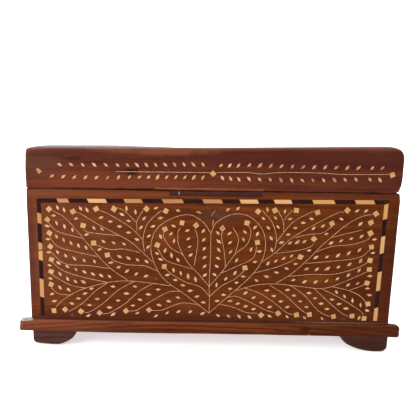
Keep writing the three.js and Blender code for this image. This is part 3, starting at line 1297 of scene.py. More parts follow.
@dataclass
class BodyBoards:
    """The four boards of the body, in millimetres. The front has grooves for the border and the repair."""

    edge: float = 0.7
    corner_left: float = 1.3
    corner_right: float = 2.4
    corner_foot: float = 1.6
    groove_gap: float = 0.1
    groove_clearance: float = 1.0
    swelling: float = 0.7
    foot_depth: float = 1.3
    front: Sheesham = Sheesham(
        "oiled_sheesham_front",
        ground="#5f290a",
        pale="#703610",
        late="#471a06",
        pith=(-40.0, 60.0),
        ring_mm=7.0,
        ring_strength=0.4,
        streak_mm=3.5,
        stains_and_painted_light=(
            # Painted light and shade: the left part paler with a painted reflection haze, the right part
            # darker, as the light falls from the left
            StainAndPaintedLight((-150, -100, 100), (150, 40, 90), "#7b4631", 0.32, 60),
            StainAndPaintedLight((200, -100, 70), (170, 40, 150), "#381200", 0.58, 40),
            StainAndPaintedLight((-150, -100, 80), (9, 30, 95), "#472620", 0.6, 10),
            StainAndPaintedLight((150, -100, 75), (13, 30, 95), "#3d190b", 0.4, 10),
            StainAndPaintedLight((88, -100, 62), (24, 30, 7), "#8f4c16", 0.28, 6),
            StainAndPaintedLight((-40, -100, 98), (14, 30, 14), "#824119", 0.4, 8),
            StainAndPaintedLight((-22, -100, 36), (18, 30, 9), "#84431a", 0.4, 8),
            StainAndPaintedLight((1, -100, 116), (25, 30, 14), "#422919", 0.85, 1.5, 1.4),
            StainAndPaintedLight((15.8, -100, 112), (18, 30, 8.5), "#452c1b", 0.8, 1.5, 1.4),
            StainAndPaintedLight((-20, -100, 118.7), (11, 30, 5), "#45281a", 0.5, 1.3, 1.3),
            StainAndPaintedLight((-9.6, -100, 123.6), (9, 30, 1.8), "#3b1a10", 0.6, 2),
            StainAndPaintedLight((4, -100, 115), (48, 30, 22), "#855c42", 0.3, 0.9, 2),
            # Darker along the bottom, where the front meets the base: painted shade, with some grime
            StainAndPaintedLight((-40, -100, 24), (260, 30, 17), "#421d12", 0.65, 14),
            StainAndPaintedLight((-116.3, -100, 27.8), (1.4, 6, 1.9), "#86665c", 0.6, 2),
            StainAndPaintedLight((-45.5, -100, 60.6), (1.6, 6, 1.3), "#86644f", 0.55, 2),
            StainAndPaintedLight((108.6, -100, 107.1), (1.8, 6, 1.2), "#86644f", 0.55, 2),
            StainAndPaintedLight((112, -100, 28), (4, 6, 1.6), "#57482f", 0.6, 2),
            StainAndPaintedLight((110, -100, 24.4), (60, 8, 1), "#7d6150", 0.7, 2),
            StainAndPaintedLight((-95, -100, 131.5), (170, 12, 5.5), "#82492f", 0.3, 12),
            StainAndPaintedLight((95, -100, 131.5), (150, 12, 5.5), "#62301f", 0.4, 12),
            # Painted shade: a dark line in the seam between lid and body
            StainAndPaintedLight((0, -100, 135), (400, 12, 1.4), "#200d08", 0.9, 12),
        ),
    )
    plain: Sheesham = Sheesham(
        "oiled_sheesham_back",
        ground="#673218",
        pale="#7a4227",
        late="#4a1f0e",
        pith=(50.0, 40.0),
        ring_mm=7.0,
    )
    ends: Sheesham = Sheesham(
        "oiled_sheesham_ends",
        ground="#6a3519",
        pale="#7d4529",
        late="#4a1f0e",
        grain=GrainAxis.ALONG_Y,
        pith=(30.0, 50.0),
        ring_mm=6.0,
    )

    def swollen(self, node: str) -> tuple[Vector, Vector]:
        """Finds a board's box once the body has swelled a little across.

        Args:
            node: The board's name in the frame.

        Returns:
            Its lowest and highest corners in millimetres.
        """
        low, high = box_mm(node)
        growth = 1 + self.swelling / box_mm("front_board")[1].x
        return Vector((low.x * growth, low.y, low.z)), Vector((high.x * growth, high.y, high.z))

    def grooves(self) -> list[list[Vector]]:
        """Works out the border's grooves from the tiles that lie in them.

        Returns:
            The grooves' outlines across and up.
        """
        outlines = []
        for strip in ("top_border", "left_border", "right_border"):
            tiles = [piece for name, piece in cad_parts.items() if name.startswith(strip)]
            places = [vertex.co / MM for tile in tiles for vertex in tile.data.vertices]
            outlines.append(grown(hull([Vector((p.x, p.z)) for p in places]), self.groove_gap))
        return outlines

    def build(self) -> list[Piece]:
        """Makes the four boards.

        Returns:
            The new pieces.
        """
        low, high = self.swollen("front_board")
        low.z -= self.foot_depth
        middle = (low + high) / 2

        def edge_at(point: Vector) -> float:
            """Chooses the radius of an arris, which is larger at the upper corners and the lower left one.

            Args:
                point: A point of the square block.

            Returns:
                The radius there.
            """
            corner = self.corner_left if point.x < middle.x else self.corner_right
            if point.z < middle.z:
                foot = point.x < low.x + self.corner_foot and point.z < low.z + self.corner_foot
                return self.corner_foot if foot else self.edge
            across = abs(point.x - middle.x) > high.x - 2 * corner
            return corner if across and point.z > high.z - 2 * corner else self.edge

        block = WornBlock(low, high, self.corner_right, seed=21, edge_at=edge_at)
        front = block.build("worn_front_board", self.front.material())
        tile_back = box_mm("top_border_1_ebony")[1].y
        cut(front, self.grooves(), low.y - self.groove_clearance, tile_back)
        strip_low, strip_high = box_mm("body_repair_strip")
        gap = self.groove_gap
        top = high.z + self.groove_clearance
        recess = rectangle(strip_low.x - gap, strip_high.x + gap, strip_low.z - gap, top)
        cut(front, [recess], low.y - self.groove_clearance, strip_high.y)
        pieces = [settle(front, "body_wood", "front_board")]

        ends = self.ends.material()
        others = (("back_board", self.plain.material()), ("left_board", ends), ("right_board", ends))
        for seed, (node, material) in enumerate(others, start=22):
            block = WornBlock(*self.swollen(node), self.edge, seed=seed)
            pieces.append(settle(block.build(f"worn_{node}", material), "body_wood", node))
        return pieces


@dataclass
class BorderTiles:
    """The bone and ebony tiles of the border, which stay as the frame has them."""

    bone: CamelBone = CamelBone("scraped_bone_tile", "#a56f3c", "#c58d4b", "#d5a062", ToneSource.PIECE)
    ebony: DarkInlay = DarkInlay("scraped_ebony_tile", "#22100f", "#371c19", 0.5)

    def build(self) -> list[Piece]:
        """Gives every tile its finish.

        Returns:
            The tiles.
        """
        bone = self.bone.material()
        ebony = self.ebony.material()
        names = [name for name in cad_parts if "_border_" in name]
        return [dress(name, bone if name.endswith("bone") else ebony) for name in names]


@dataclass
class RepairStrips:
    """The two strips let into the front, which stay as the frame has them."""

    pale: Sheesham = Sheesham(
        "oiled_pale_repair",
        ground="#7c4023",
        pale="#8b4c2a",
        late="#602d16",
        pith=(-80.0, 120.0),
        streak_mm=1.5,
        # Painted shade: a dark line in the seam between lid and body
        stains_and_painted_light=(StainAndPaintedLight((0, -100, 135), (400, 12, 1), "#200d08", 0.9, 12),),
    )
    dark: Sheesham = Sheesham(
        "oiled_dark_repair",
        ground="#42211b",
        pale="#512c24",
        late="#2e1611",
        pith=(-80.0, 120.0),
        streak_mm=1.5,
        stains_and_painted_light=(
            StainAndPaintedLight((-27.4, -100, 132.8), (0.9, 6, 2.6), "#a98d7c", 0.8, 3),
            # Painted shade: a dark line in the seam between lid and body
            StainAndPaintedLight((0, -100, 135), (400, 12, 1.6), "#200d08", 0.9, 12),
        ),
    )

    def build(self) -> list[Piece]:
        """Gives both strips their finish.

        Returns:
            The strips.
        """
        return [
            dress("lid_repair_strip", self.pale.material()),
            dress("body_repair_strip", self.dark.material()),
        ]


# Lid


@dataclass
class LidBoards:
    """The lid: a top board between a front and a back rail, on two end rails, in millimetres.

    It is taller at its right end, worn down at both upper corners, and its top has warped: it dips to the
    back, and at the left end it is crowned.
    """

    top_thickness: float = 5.75
    top_radius: float = 3.8
    top_rounding: float = 15.0
    inner_radius: float = 0.2
    worn_across: float = 15.0
    worn_down: float = 11.0
    worn_left_across: float = 9.0
    worn_left_down: float = 3.2
    worn_lines: int = 8
    dip: float = 2.6
    dip_start: float = -85.0
    dip_full: float = -25.0
    flat_share: float = 0.2
    crown: float = 1.5
    rise_right: float = 1.05
    spread_left: tuple[float, float] = (0.6, 1.1)
    spread_right: tuple[float, float] = (0.2, 2.45)
    edge: float = 0.9
    cell: float = 4.0
    foot_right: float = 2.8
    recess_gap: float = 0.1
    recess_clearance: float = 1.0
    front: Sheesham = Sheesham(
        "oiled_sheesham_lid_front",
        ground="#552619",
        pale="#68321d",
        late="#3a1812",
        worn="#9a5d3e",
        pith=(-70.0, 100.0),
        lean=(0.8, 0.0),
        ring_mm=7.5,
        ring_strength=0.4,
        sway_mm=9.0,
        streak_mm=3.5,
        wear_and_highlight_strength=0.5,
        stains_and_painted_light=(
            StainAndPaintedLight((-38, -100, 165.6), (66, 30, 4.2), "#8c5234", 0.45, 8),
            StainAndPaintedLight((-118, -100, 166), (36, 30, 4), "#4a2a22", 0.5, 8),
            StainAndPaintedLight((-152, -100, 150), (7, 30, 32), "#43261f", 0.55, 8),
            StainAndPaintedLight((154, -100, 150), (18, 30, 32), "#3b1913", 0.4, 8),
            StainAndPaintedLight((-75, -100, 139), (120, 30, 17), "#733820", 0.7, 30),
            # Painted shade: the right part darker, as the light falls from the left
            StainAndPaintedLight((95, -100, 160), (150, 30, 16), "#431d18", 0.65, 30),
            StainAndPaintedLight((-142, -100, 155), (34, 30, 15), "#573427", 0.7, 8),
            StainAndPaintedLight((-136, -100, 161.8), (26, 30, 1.8), "#43241d", 0.7, 6),
            StainAndPaintedLight((-112, -100, 159), (14, 30, 2.6), "#371a13", 0.75, 5),
            StainAndPaintedLight((-94, -100, 156.4), (26, 30, 2), "#3e1d15", 0.7, 6),
            StainAndPaintedLight((-64.8, -100, 149.3), (9, 6, 4.6), "#1c0b08", 0.95, 2.5),
            # Painted shade: a dark line in the seam between lid and body
            StainAndPaintedLight((0, -100, 135), (400, 12, 1.9), "#200d08", 0.9, 12),
        ),
    )
    top: Sheesham = Sheesham(
        "rubbed_sheesham_lid_top",
        ground="#623c33",
        pale="#774e42",
        late="#45261f",
        pith=(20.0, 60.0),
        ring_mm=8.0,
        roughness=0.44,
        specular=0.12,
    )
    back: Sheesham = Sheesham(
        "oiled_sheesham_lid_back",
        ground="#552b21",
        pale="#6f402f",
        late="#3a1a15",
        pith=(60.0, 100.0),
        ring_mm=6.5,
    )
    ends: Sheesham = Sheesham(
        "oiled_sheesham_lid_ends",
        ground="#572c22",
        pale="#704030",
        late="#3a1a15",
        grain=GrainAxis.ALONG_Y,
        pith=(40.0, 110.0),
        ring_mm=6.0,
    )

    def slope(self) -> float:
        """Returns how much the lid's top rises along X, read from the tops of its two end rails."""
        left = box_mm("lid_left_rail")[1]
        right = box_mm("lid_right_rail")[1]
        return (right.z - left.z) / (right.x - left.x)

    def lowered(self, point: Vector, low: Vector, high: Vector) -> float:
        """Works out how far the lid's top lies below a plain slope.

        Args:
            point: A place on the lid.
            low: The lid's lowest corner.
            high: Its highest corner.

        Returns:
            How far wear and warping have lowered the top there.
        """
        worn = self.worn_down * worn_end((high.x - point.x) / self.worn_across)
        worn += self.worn_left_down * worn_end((point.x - low.x) / self.worn_left_across)
        back = (point.y - low.y) / (high.y - low.y)
        late = max(0.0, (back - self.flat_share) / (1 - self.flat_share))
        warped = held((point.x - self.dip_start) / (self.dip_full - self.dip_start))
        risen = self.rise_right * max(0.0, point.x / high.x)
        crown = self.crown * max(0.0, 1 - (back / self.flat_share - 1) ** 2)
        return worn - risen + self.dip * back * warped + (self.dip * late - crown) * (1 - warped)

    def board(
        self, node: str, seed: int, material: Material, upper: Material | None = None
    ) -> Piece:
        """Makes one rail or the top board.

        Args:
            node: The solid's name in the frame.
            seed: Sets its wear apart.
            material: Its finish.
            upper: The finish of what faces up, where it isn't the same.

        Returns:
            The new piece.
        """
        low, high = box_mm(node)
        slope = self.slope()
        is_top = node == "lid_top_board"
        is_long = node in ("lid_front_rail", "lid_back_rail")
        end_rail_top = box_mm("lid_left_rail")[1]
        top = end_rail_top.z - slope * end_rail_top.x
        under = low.z - slope * low.x if is_top else low.z
        if not node.endswith(("left_rail", "right_rail")):
            top = self.peak()
        outer = low.y if node == "lid_front_rail" else high.y

        def edge_at(point: Vector) -> float:
            """Chooses the radius of an arris, which grows towards the outer upper edges.

            Args:
                point: A point of the square block.

            Returns:
                The radius there.
            """
            if not is_long:
                return self.inner_radius if is_top else self.edge
            if point.z > (under + top) / 2 and abs(point.y - outer) > self.top_radius:
                return self.inner_radius
            if point.x > high.x - 2 * self.foot_right and point.z < low.z + 2 * self.foot_right:
                return self.foot_right
            share = held(1 - (top - self.top_radius - point.z) / self.top_rounding)
            return self.edge + (self.top_radius - self.edge) * share

        lid_low, lid_high = box_mm("lid_front_rail")[0], box_mm("lid_back_rail")[1]

        def shape(point: Vector) -> Vector:
            """Brings a point to the lid's sloping and worn height, and spreads the lid upwards.

            Args:
                point: A point of the worn block.

            Returns:
                Its place on the lid.
            """
            share = (point.z - under) / (top - under)
            base = slope * point.x if is_top else 0.0
            lowered = self.lowered(point, lid_low, lid_high) if is_top or is_long else 0.0
            room = top - under + slope * point.x - base
            height = under + base + share * max(0.0, room - lowered)
            spread = self.spread_left if point.x < 0 else self.spread_right
            rise = (height - lid_low.z) / (lid_high.z - lid_low.z)
            across = point.x + point.x / lid_high.x * (spread[0] + (spread[1] - spread[0]) * rise)
            return Vector((across, point.y, height))

        count = self.worn_lines
        steps = [self.worn_across * (k / count) ** 2 for k in range(FIRST_LINE, count) if is_long]
        lines = tuple(place for step in steps for place in (low.x + step, high.x - step))
        block_low, block_high = Vector((low.x, low.y, under)), Vector((high.x, high.y, top))
        edge = self.top_radius if is_long else self.edge
        block = WornBlock(block_low, block_high, edge, self.cell, seed, edge_at, shape, lines, upper)
        return block.build(f"worn_{node}", material)

    def peak(self) -> float:
        """Returns the height of the lid's top at its middle, before wear."""
        low = box_mm("lid_top_board")[0]
        return low.z - self.slope() * low.x + self.top_thickness

    def build(self) -> list[Piece]:
        """Makes the lid's boards.

        Returns:
            The new pieces.
        """
        top = self.top.material()
        front = self.board("lid_front_rail", seed=32, material=self.front.material(), upper=top)
        low = box_mm("lid_front_rail")[0]
        strip_low, strip_high = box_mm("lid_repair_strip")
        gap = self.recess_gap
        bottom = low.z - self.recess_clearance
        recess = rectangle(strip_low.x - gap, strip_high.x + gap, bottom, strip_high.z + gap)
        cut(front, [recess], low.y - self.recess_clearance, strip_high.y)
        ends = self.ends.material()
        made = {
            "lid_top_board": self.board("lid_top_board", seed=31, material=top),
            "lid_front_rail": front,
            "lid_back_rail": self.board("lid_back_rail", seed=33, material=self.back.material(), upper=top),
            "lid_left_rail": self.board("lid_left_rail", seed=34, material=ends),
            "lid_right_rail": self.board("lid_right_rail", seed=35, material=ends),
        }
        return [settle(piece, "lid_wood", node) for node, piece in made.items()]


# Inlay


@dataclass(frozen=True)
class Face:
    """A flat face that inlay is let into, in millimetres: a point on it, its right and its up."""

    origin: Vector
    right: Vector
    up: Vector

    def point(self, place: Vector, out: float) -> Vector:
        """Finds a point in front of the face.

        Args:
            place: The distance across and up.
            out: How far it stands out.

        Returns:
            The point in metres.
        """
        outward = self.right.cross(self.up)
        return (self.origin + self.right * place.x + self.up * place.y + outward * out) * MM


@dataclass
class Inlay:
    """Thin closed slips and wires let into one face and gathered into one mesh, in millimetres.

    Attributes:
        face: The face that they are let into.
        proud: How far they stand out, too little to see but enough to hide the wood.
        depth: How deep they reach into the wood.
        eased: How far their upper arrises are scraped off.
    """

    face: Face
    proud: float
    depth: float = 0.5
    eased: float = 0.08
    points: list[Vector] = field(default_factory=list)
    faces: list[tuple[int, ...]] = field(default_factory=list)
    tones: list[float] = field(default_factory=list)

    # The eased arris drops by this share of its width
    EASED_DROP = 0.25
    # A wire's section has five corners: two below, two shoulders and the crown
    WIRE_CORNERS = 5
    SHOULDER = 0.4
    # A wire's width wavers over this length, by up to this share
    WAVER_LENGTH = 3.0
    WAVER = 0.2

    def add_slip(self, outline: Sequence[Vector], tone: float) -> None:
        """Adds a flat slip with eased arrises.

        Args:
            outline: Its corners across and up, anticlockwise.
            tone: Its own shade, from 0 to 1.
        """
        top = grown(outline, -self.eased)
        shoulder = self.proud - self.eased * self.EASED_DROP
        rings = ((outline, -self.depth), (outline, shoulder), (top, self.proud))
        faces = tube_faces(len(self.points), len(outline), len(rings))
        self.faces += [face[::-1] for face in faces]
        for ring, out in rings:
            self.points += [self.face.point(corner, out) for corner in ring]
            self.tones += [tone] * len(ring)

    def add_wire(self, path: Sequence[Vector], width: float) -> None:
        """Adds a wire that is hammered flat and slightly crowned.

        Args:
            path: The middle of the wire, across and up.
            width: How wide it is.
        """
        self.faces += tube_faces(len(self.points), self.WIRE_CORNERS, len(path))
        self.tones += [PLAIN_TONE] * (self.WIRE_CORNERS * len(path))
        last = len(path) - 1
        shoulder = self.proud * self.SHOULDER
        for index, place in enumerate(path):
            along = (path[min(index + 1, last)] - path[max(index - 1, 0)]).normalized()
            waver = 1 + self.WAVER * noise.noise(place.to_3d() / self.WAVER_LENGTH)
            side = Vector((-along.y, along.x)) * width / 2 * waver
            section = (
                (place + side, -self.depth),
                (place - side, -self.depth),
                (place - side, shoulder),
                (place, self.proud),
                (place + side, shoulder),
            )
            self.points += [self.face.point(*corner) for corner in section]

    def build(self, name: str, material: Material, slot: str) -> Piece:
        """Makes the inlay's piece.

        Args:
            name: Its name.
            material: Its finish.
            slot: The record's finish that it takes.

        Returns:
            The new piece.
        """
        piece = add_mesh(name, self.points, self.faces)
        piece.data.attributes.new("tone", "FLOAT", "POINT").data.foreach_set("value", self.tones)
        piece.data.materials.append(material)
        return settle(piece, slot)


def smooth_path(knots: Sequence[Vector], step: float) -> list[Vector]:
    """Draws a smooth curve through knots.

    Args:
        knots: Points on the curve.
        step: The usual spacing of the points that are returned.

    Returns:
        Points along the curve.
    """
    ends = [knots[0] * 2 - knots[1], *knots, knots[-1] * 2 - knots[-2]]
    path = [knots[0].copy()]
    for before, start, end, after in zip(ends, ends[1:], ends[2:], ends[3:]):
        count = max(1, round((end - start).length / step))
        for index in range(1, count + 1):
            t = index / count
            bend = 2 * start + (end - before) * t
            bend += (2 * before - 5 * start + 4 * end - after) * t**2
            bend += (3 * start - before - 3 * end + after) * t**3
            path.append(bend / 2)
    return path


@dataclass(frozen=True)
class Stem:
    """One wire of a vine, in the units that the vine is drawn in.

    Attributes:
        knots: Points that the wire passes through.
        square: The middle of the bone square that it bears, if it bears one.
        turn: How far the square is turned from upright, in degrees, anticlockwise.
    """

    knots: tuple[Pixel, ...]
    square: Pixel | None = None
    turn: float = 0.0


@dataclass(frozen=True)
class LoneSquare:
    """A bone square that is no stem's own: its middle, and its turn as for a stem's square."""

    place: Pixel
    turn: float


@dataclass(frozen=True)
class LeafRow:
    """Leaves in a row, in the units that their vine is drawn in.

    Attributes:
        count: How many leaves there are.
        places: The middles of the first and last leaf, with the middle of the row between them if it bends,
            or the middle of the only leaf.
        tilt: How far the leaves lean, in degrees from the level, anticlockwise.
        end_tilt: How far the last leaf leans, where the lean changes along the row.
        tone: How pale the bone is, from 0 to 1.
    """

    count: int
    places: tuple[Pixel, ...]
    tilt: float
    end_tilt: float | None = None
    tone: float = 0.72

    def leaves(self) -> list[tuple[Pixel, float]]:
        """Spaces the leaves along the row.

        Returns:
            Each leaf's middle and its tilt.
        """
        start, end = Vector(self.places[0]), Vector(self.places[-1])
        middle = Vector(self.places[1]) if len(self.places) == 3 else (start + end) / 2
        pull = middle * 2 - (start + end) / 2
        last_tilt = self.tilt if self.end_tilt is None else self.end_tilt
        found = []
        for index in range(self.count):
            t = index / max(1, self.count - 1)
            place = start * (1 - t) ** 2 + pull * 2 * t * (1 - t) + end * t**2
            found.append(((place.x, place.y), self.tilt + (last_tilt - self.tilt) * t))
        return found


# The vines of the front and of the lid's front, drawn in pixels of the photograph

HEART_STEMS = (
    Stem(((211, 233), (210.5, 255), (209, 286.5), (209.5, 296.5), (209, 313))),
    Stem((
        (211, 233), (203, 222), (190.5, 215), (175.5, 217), (159.5, 226), (152, 239), (152, 256.5),
        (163, 278), (187, 296), (209, 313),
    )),
    Stem((
        (211, 233), (216.5, 222.5), (232, 214.5), (248.5, 216), (262, 229), (265.5, 246), (261, 262.5),
        (249, 278), (228, 296.5), (209, 313),
    )),
    Stem(((209, 286.5), (199, 274.5), (187.5, 262), (179, 246), (178, 233), (180.5, 227.5)), (182, 223), 80),
    Stem(((182.5, 254.5), (171, 248), (164, 238), (163.5, 232.5)), (165, 229), 28),
    Stem(((194, 266), (197, 250), (198, 242), (197, 234.5), (195, 229.5)), (196, 225.5), 38),
    Stem(((192.5, 269), (180.5, 265.5), (165.5, 260), (158, 249)), (157.5, 245), 68),
    Stem(((209.5, 296.5), (200.5, 287), (185.5, 282), (171.5, 274), (166, 269)), (164, 266.5), 0),
    Stem(((209, 286.5), (221, 273), (235, 254.5), (247, 244.5), (251, 232.5), (249, 226)), (247, 223), 75),
    Stem(((225.5, 267.5), (224.5, 253.5), (221.5, 236.5), (222.5, 232)), (222.5, 228.5), 40),
    Stem(((235, 254.5), (238.5, 239), (233, 227.5))),
    Stem(((221.5, 273), (238.5, 265.5), (253, 258), (257, 246.5)), (257.5, 242.5), 12),
    Stem(((209.5, 296.5), (221.5, 286), (234, 279.5), (244, 271)), (245, 268), 8),
)

LEFT_STEMS = (
    Stem(((128, 280.5), (109, 267), (90.5, 247), (75.5, 229), (64, 217), (52.5, 210.5)), (49, 209), 40),
    Stem(((83.5, 238.5), (60.5, 232.5), (52, 227), (49, 223)), (47.5, 219.5), 52),
    Stem(((97.5, 256.5), (72.5, 251), (58, 246.5), (49.5, 237)), (49.5, 233), 58),
    Stem(((109, 268.5), (88.5, 265.5), (66, 264), (54, 255), (50.5, 251)), (50.5, 246.5), 52),
    Stem((
        (171.5, 286), (142, 282), (120, 281), (98.5, 284.5), (78, 291), (63, 300), (56, 307),
    ), (54, 310.5), 8),
    Stem(((107.5, 282.5), (80.5, 276.5), (63, 270.5), (52.5, 262.5)), (51.5, 259.5), 72),
    Stem(((85.5, 288), (72, 285.5), (58, 278.5), (52.5, 274.5)), (51, 271.5), 67),
    Stem(((70, 295), (60.5, 294), (55, 291.5), (51.5, 287.5)), (51, 284.5), 65),
    Stem(((107.5, 283), (95.5, 291), (82, 303.5), (69, 311.5)), (65, 309.5), 40),
    Stem(((134, 281.5), (118.5, 290), (103.5, 303), (90.5, 311.5), (84.5, 312.5)), (81, 311.5), 55),
    Stem(((152, 284), (139.5, 291), (124.5, 304), (110, 312.5), (102.5, 314)), (99.5, 313), 50),
    Stem(((179.5, 291.5), (168.5, 292), (151.5, 301), (137, 310), (129.5, 311)), (126, 311), 42),
    Stem(((197, 304.5), (182.5, 303), (169.5, 307), (162, 310), (152, 310.5)), (149, 310), 40),
    Stem(((152.5, 262), (133.5, 244), (118.5, 235), (97.5, 224), (82, 214.5), (76.5, 212)), (73, 211.5), 30),
    Stem(((119, 235.5), (102, 234), (87.5, 232), (83.5, 229)), (83, 225.5), 75),
    Stem(((139.5, 252.5), (123.5, 249), (110, 249.5), (96.5, 245)), (93.5, 243), 0),
    Stem(((157, 271), (145, 266), (126.5, 264.5), (114, 260.5), (111, 257.5)), (107.5, 255), 10),
    Stem(((144.5, 252), (143, 239), (147, 224.5), (157, 214), (162, 210.5)), (166, 211), 60),
    Stem(((142.5, 239.5), (132, 228.5), (116.5, 218.5), (106.5, 213), (99.5, 210.5)), (96, 209), 30),
    Stem(((137, 230.5), (137, 221), (143, 210.5)), (146.5, 209), 50),
    Stem(((137, 223), (128, 214), (122, 209.5), (117, 207.5)), (114, 209), 60),
)

RIGHT_STEMS = (
    Stem((
        (276, 283), (290.5, 274.5), (308, 259.5), (323.5, 244), (347, 224.5), (362.5, 216.5), (372.5, 214.5),
    ), (376, 214), 38),
    Stem(((331.5, 237.5), (347, 233.5), (362.5, 230))),
    Stem(((316, 252), (332, 246.5), (352, 244.5), (367, 240), (370.5, 236)), (370.5, 233), 30),
    Stem(((304.5, 263.5), (328, 261.5), (357.5, 258), (370, 250)), (371.5, 247), 12),
    Stem(((287.5, 276.5), (310, 274.5), (335, 274), (357, 268), (367, 263)), (370, 260.5), 80),
    Stem((
        (236, 290.5), (256, 285), (276, 284), (300, 286.5), (322, 288.5), (340, 283.5), (366.5, 272),
    ), (369.5, 269.5), 0),
    Stem(((333, 287), (347, 290), (358.5, 295), (366, 302)), (368, 304), 15),
    Stem(((350, 290), (360.5, 286.5), (364, 284.5)), (367, 283), 72),
    Stem(((322, 289), (340, 298), (359, 310), (363.5, 315)), (364, 318.5), 0),
    Stem(((313.5, 288), (327, 300.5), (340, 312), (348, 316.5)), (352, 316), 0),
    Stem(((290.5, 285.5), (304, 295), (314.5, 307), (321.5, 313), (329.5, 316.5)), (333.5, 316.5), 20),
    Stem(((269.5, 285), (285.5, 295.5), (299, 308), (306, 313.5)), (309.5, 314.5), 10),
    Stem(((245, 288), (260, 293.5), (274.5, 303), (286.5, 312.5), (292.5, 314.5)), (296.5, 315), 17),
    Stem(((228, 297), (237, 296.5), (250.5, 302.5), (266.5, 310.5), (274, 312.5)), (278, 313.5), 40),
    Stem(((220, 304), (234, 307.5), (246.5, 312.5), (257, 313)), (261, 315), 43),
    Stem((
        (262, 262), (275.5, 252.5), (290.5, 239), (312, 226), (337.5, 213), (343.5, 212.5),
    ), (347.5, 210.5), 50),
    Stem(((295.5, 237.5), (308, 234.5), (322, 233), (331.5, 227)), (332, 223.5), 30),
    Stem(((276, 253.5), (297.5, 250.5), (310, 247), (313.5, 244)), (314, 239), 48),
    Stem(((254, 273), (275.5, 267.5), (291.5, 261), (296, 258)), (300.5, 257), 70),
    Stem(((274.5, 250.5), (276.5, 238.5), (272.5, 223), (262.5, 210.5)), (258, 211.5), 55),
    Stem(((276, 242.5), (292, 223), (306.5, 214.5), (313.5, 211.5)), (317.5, 212.5), 25),
    Stem(((283.5, 232), (283.5, 222), (278.5, 211.5)), (275, 210.5), 28),
    Stem(((284.5, 220), (288, 215), (292.5, 210.5)), (296.5, 210.5), 85),
)

# What is left of the wires above the heart
RUBBED_WIRES = (
    Stem(((212.5, 226.5), (213, 223), (213.5, 220))),
    Stem(((211.5, 216), (213, 213.5), (215, 211))),
)

# A square that has come loose from its stem, and the dirty hole in the damaged square
LOOSE_SQUARE = LoneSquare((371, 222.5), 30)
SQUARE_HOLE = (222.5, 228)
# What is left of the leaf in the stained patch
CHIPPED_LEAF = (
    (195.9, 211.6), (196.6, 212.4), (199.3, 213.4), (201.5, 213.6), (201.0, 212.3), (198.5, 211.0),
)
# The dark fill in the upper right corner of the border, where the bone stops short
CORNER_FILL = ((384.6, 204.9), (389.2, 203.4), (389.6, 200.2), (384.3, 200.2))

# The crack through the broken bone tile of the left border
TILE_CRACK = Stem(((37.6, 249.6), (39.6, 250.4), (42.4, 249.7)))

LEFT_LEAVES = (
    LeafRow(2, ((57.5, 207.5), (64, 210)), -72),
    LeafRow(2, ((80.5, 208.5), (87, 210)), -65),
    LeafRow(1, ((53.5, 215.5),), 6),
    LeafRow(3, ((76, 218.5), (86.5, 234.5), (99.5, 249.5)), 20),
    LeafRow(5, ((111, 262.5), (127, 271), (146, 276)), 18, 36),
    LeafRow(5, ((47, 226), (50.5, 278.5)), -13),
    LeafRow(2, ((52, 294), (54.5, 301)), 15),
    LeafRow(3, ((56.5, 223), (72.5, 230)), -76),
    LeafRow(5, ((56.5, 236.5), (71, 243), (86, 247.5)), -66),
    LeafRow(5, ((57.5, 252), (74.5, 258.5), (94.5, 261.5)), -62),
    LeafRow(7, ((58.5, 263), (84.5, 272), (109.5, 276.5)), -40),
    LeafRow(4, ((60, 274), (71.5, 280.5), (83.5, 282)), -67, -32),
    LeafRow(2, ((60, 287.5), (68.5, 289.5)), -48),
    LeafRow(4, ((91.5, 288.5), (72, 303.5)), 19, -9),
    LeafRow(4, ((113, 286.5), (89.5, 305)), 6, -6),
    LeafRow(4, ((135, 286.5), (109.5, 307.5)), 0),
    LeafRow(4, ((158, 289.5), (144, 297), (133, 305.5)), -3),
    LeafRow(3, ((178, 297.5), (159, 305)), -14),
    LeafRow(3, ((88.5, 315.5), (137.5, 313)), 28),
    LeafRow(5, ((156, 316), (178.5, 311.5), (202.5, 313.5)), 35),
    LeafRow(2, ((94, 228), (102, 229)), -42),
    LeafRow(3, ((103.5, 241.5), (124, 244)), -36),
    LeafRow(4, ((119.5, 256.5), (146.5, 261.5)), -40),
    LeafRow(5, ((101, 217.5), (119.5, 226.5), (137, 239.5)), 14, -6),
    LeafRow(2, ((122, 214.5), (128.5, 221)), -9),
    LeafRow(2, ((126.5, 208.5), (135.5, 212)), -85),
    LeafRow(2, ((144, 218.5), (141, 227.5)), 42),
    LeafRow(1, ((156, 208),), 36),
    LeafRow(4, ((160.5, 218), (150.5, 231), (148, 247)), 18, 49),
    LeafRow(1, ((178, 210.5),), -22),
    LeafRow(1, ((173.5, 226),), -31),
    LeafRow(1, ((160.5, 236.5),), -54),
    LeafRow(2, ((171, 234), (174, 241)), 43, 73),
    LeafRow(4, ((187.5, 230.5), (190.5, 255)), 33),
    LeafRow(3, ((165, 250.5), (178, 260)), 76, 117),
    LeafRow(2, ((157, 253.5), (160.5, 259.5)), -22),
    LeafRow(4, ((173.5, 270), (195.5, 279.5)), -82),
    LeafRow(6, ((203.5, 231), (205, 275)), 44),
    LeafRow(6, ((167.5, 275), (186.5, 288), (203.5, 302.5)), 2),
)

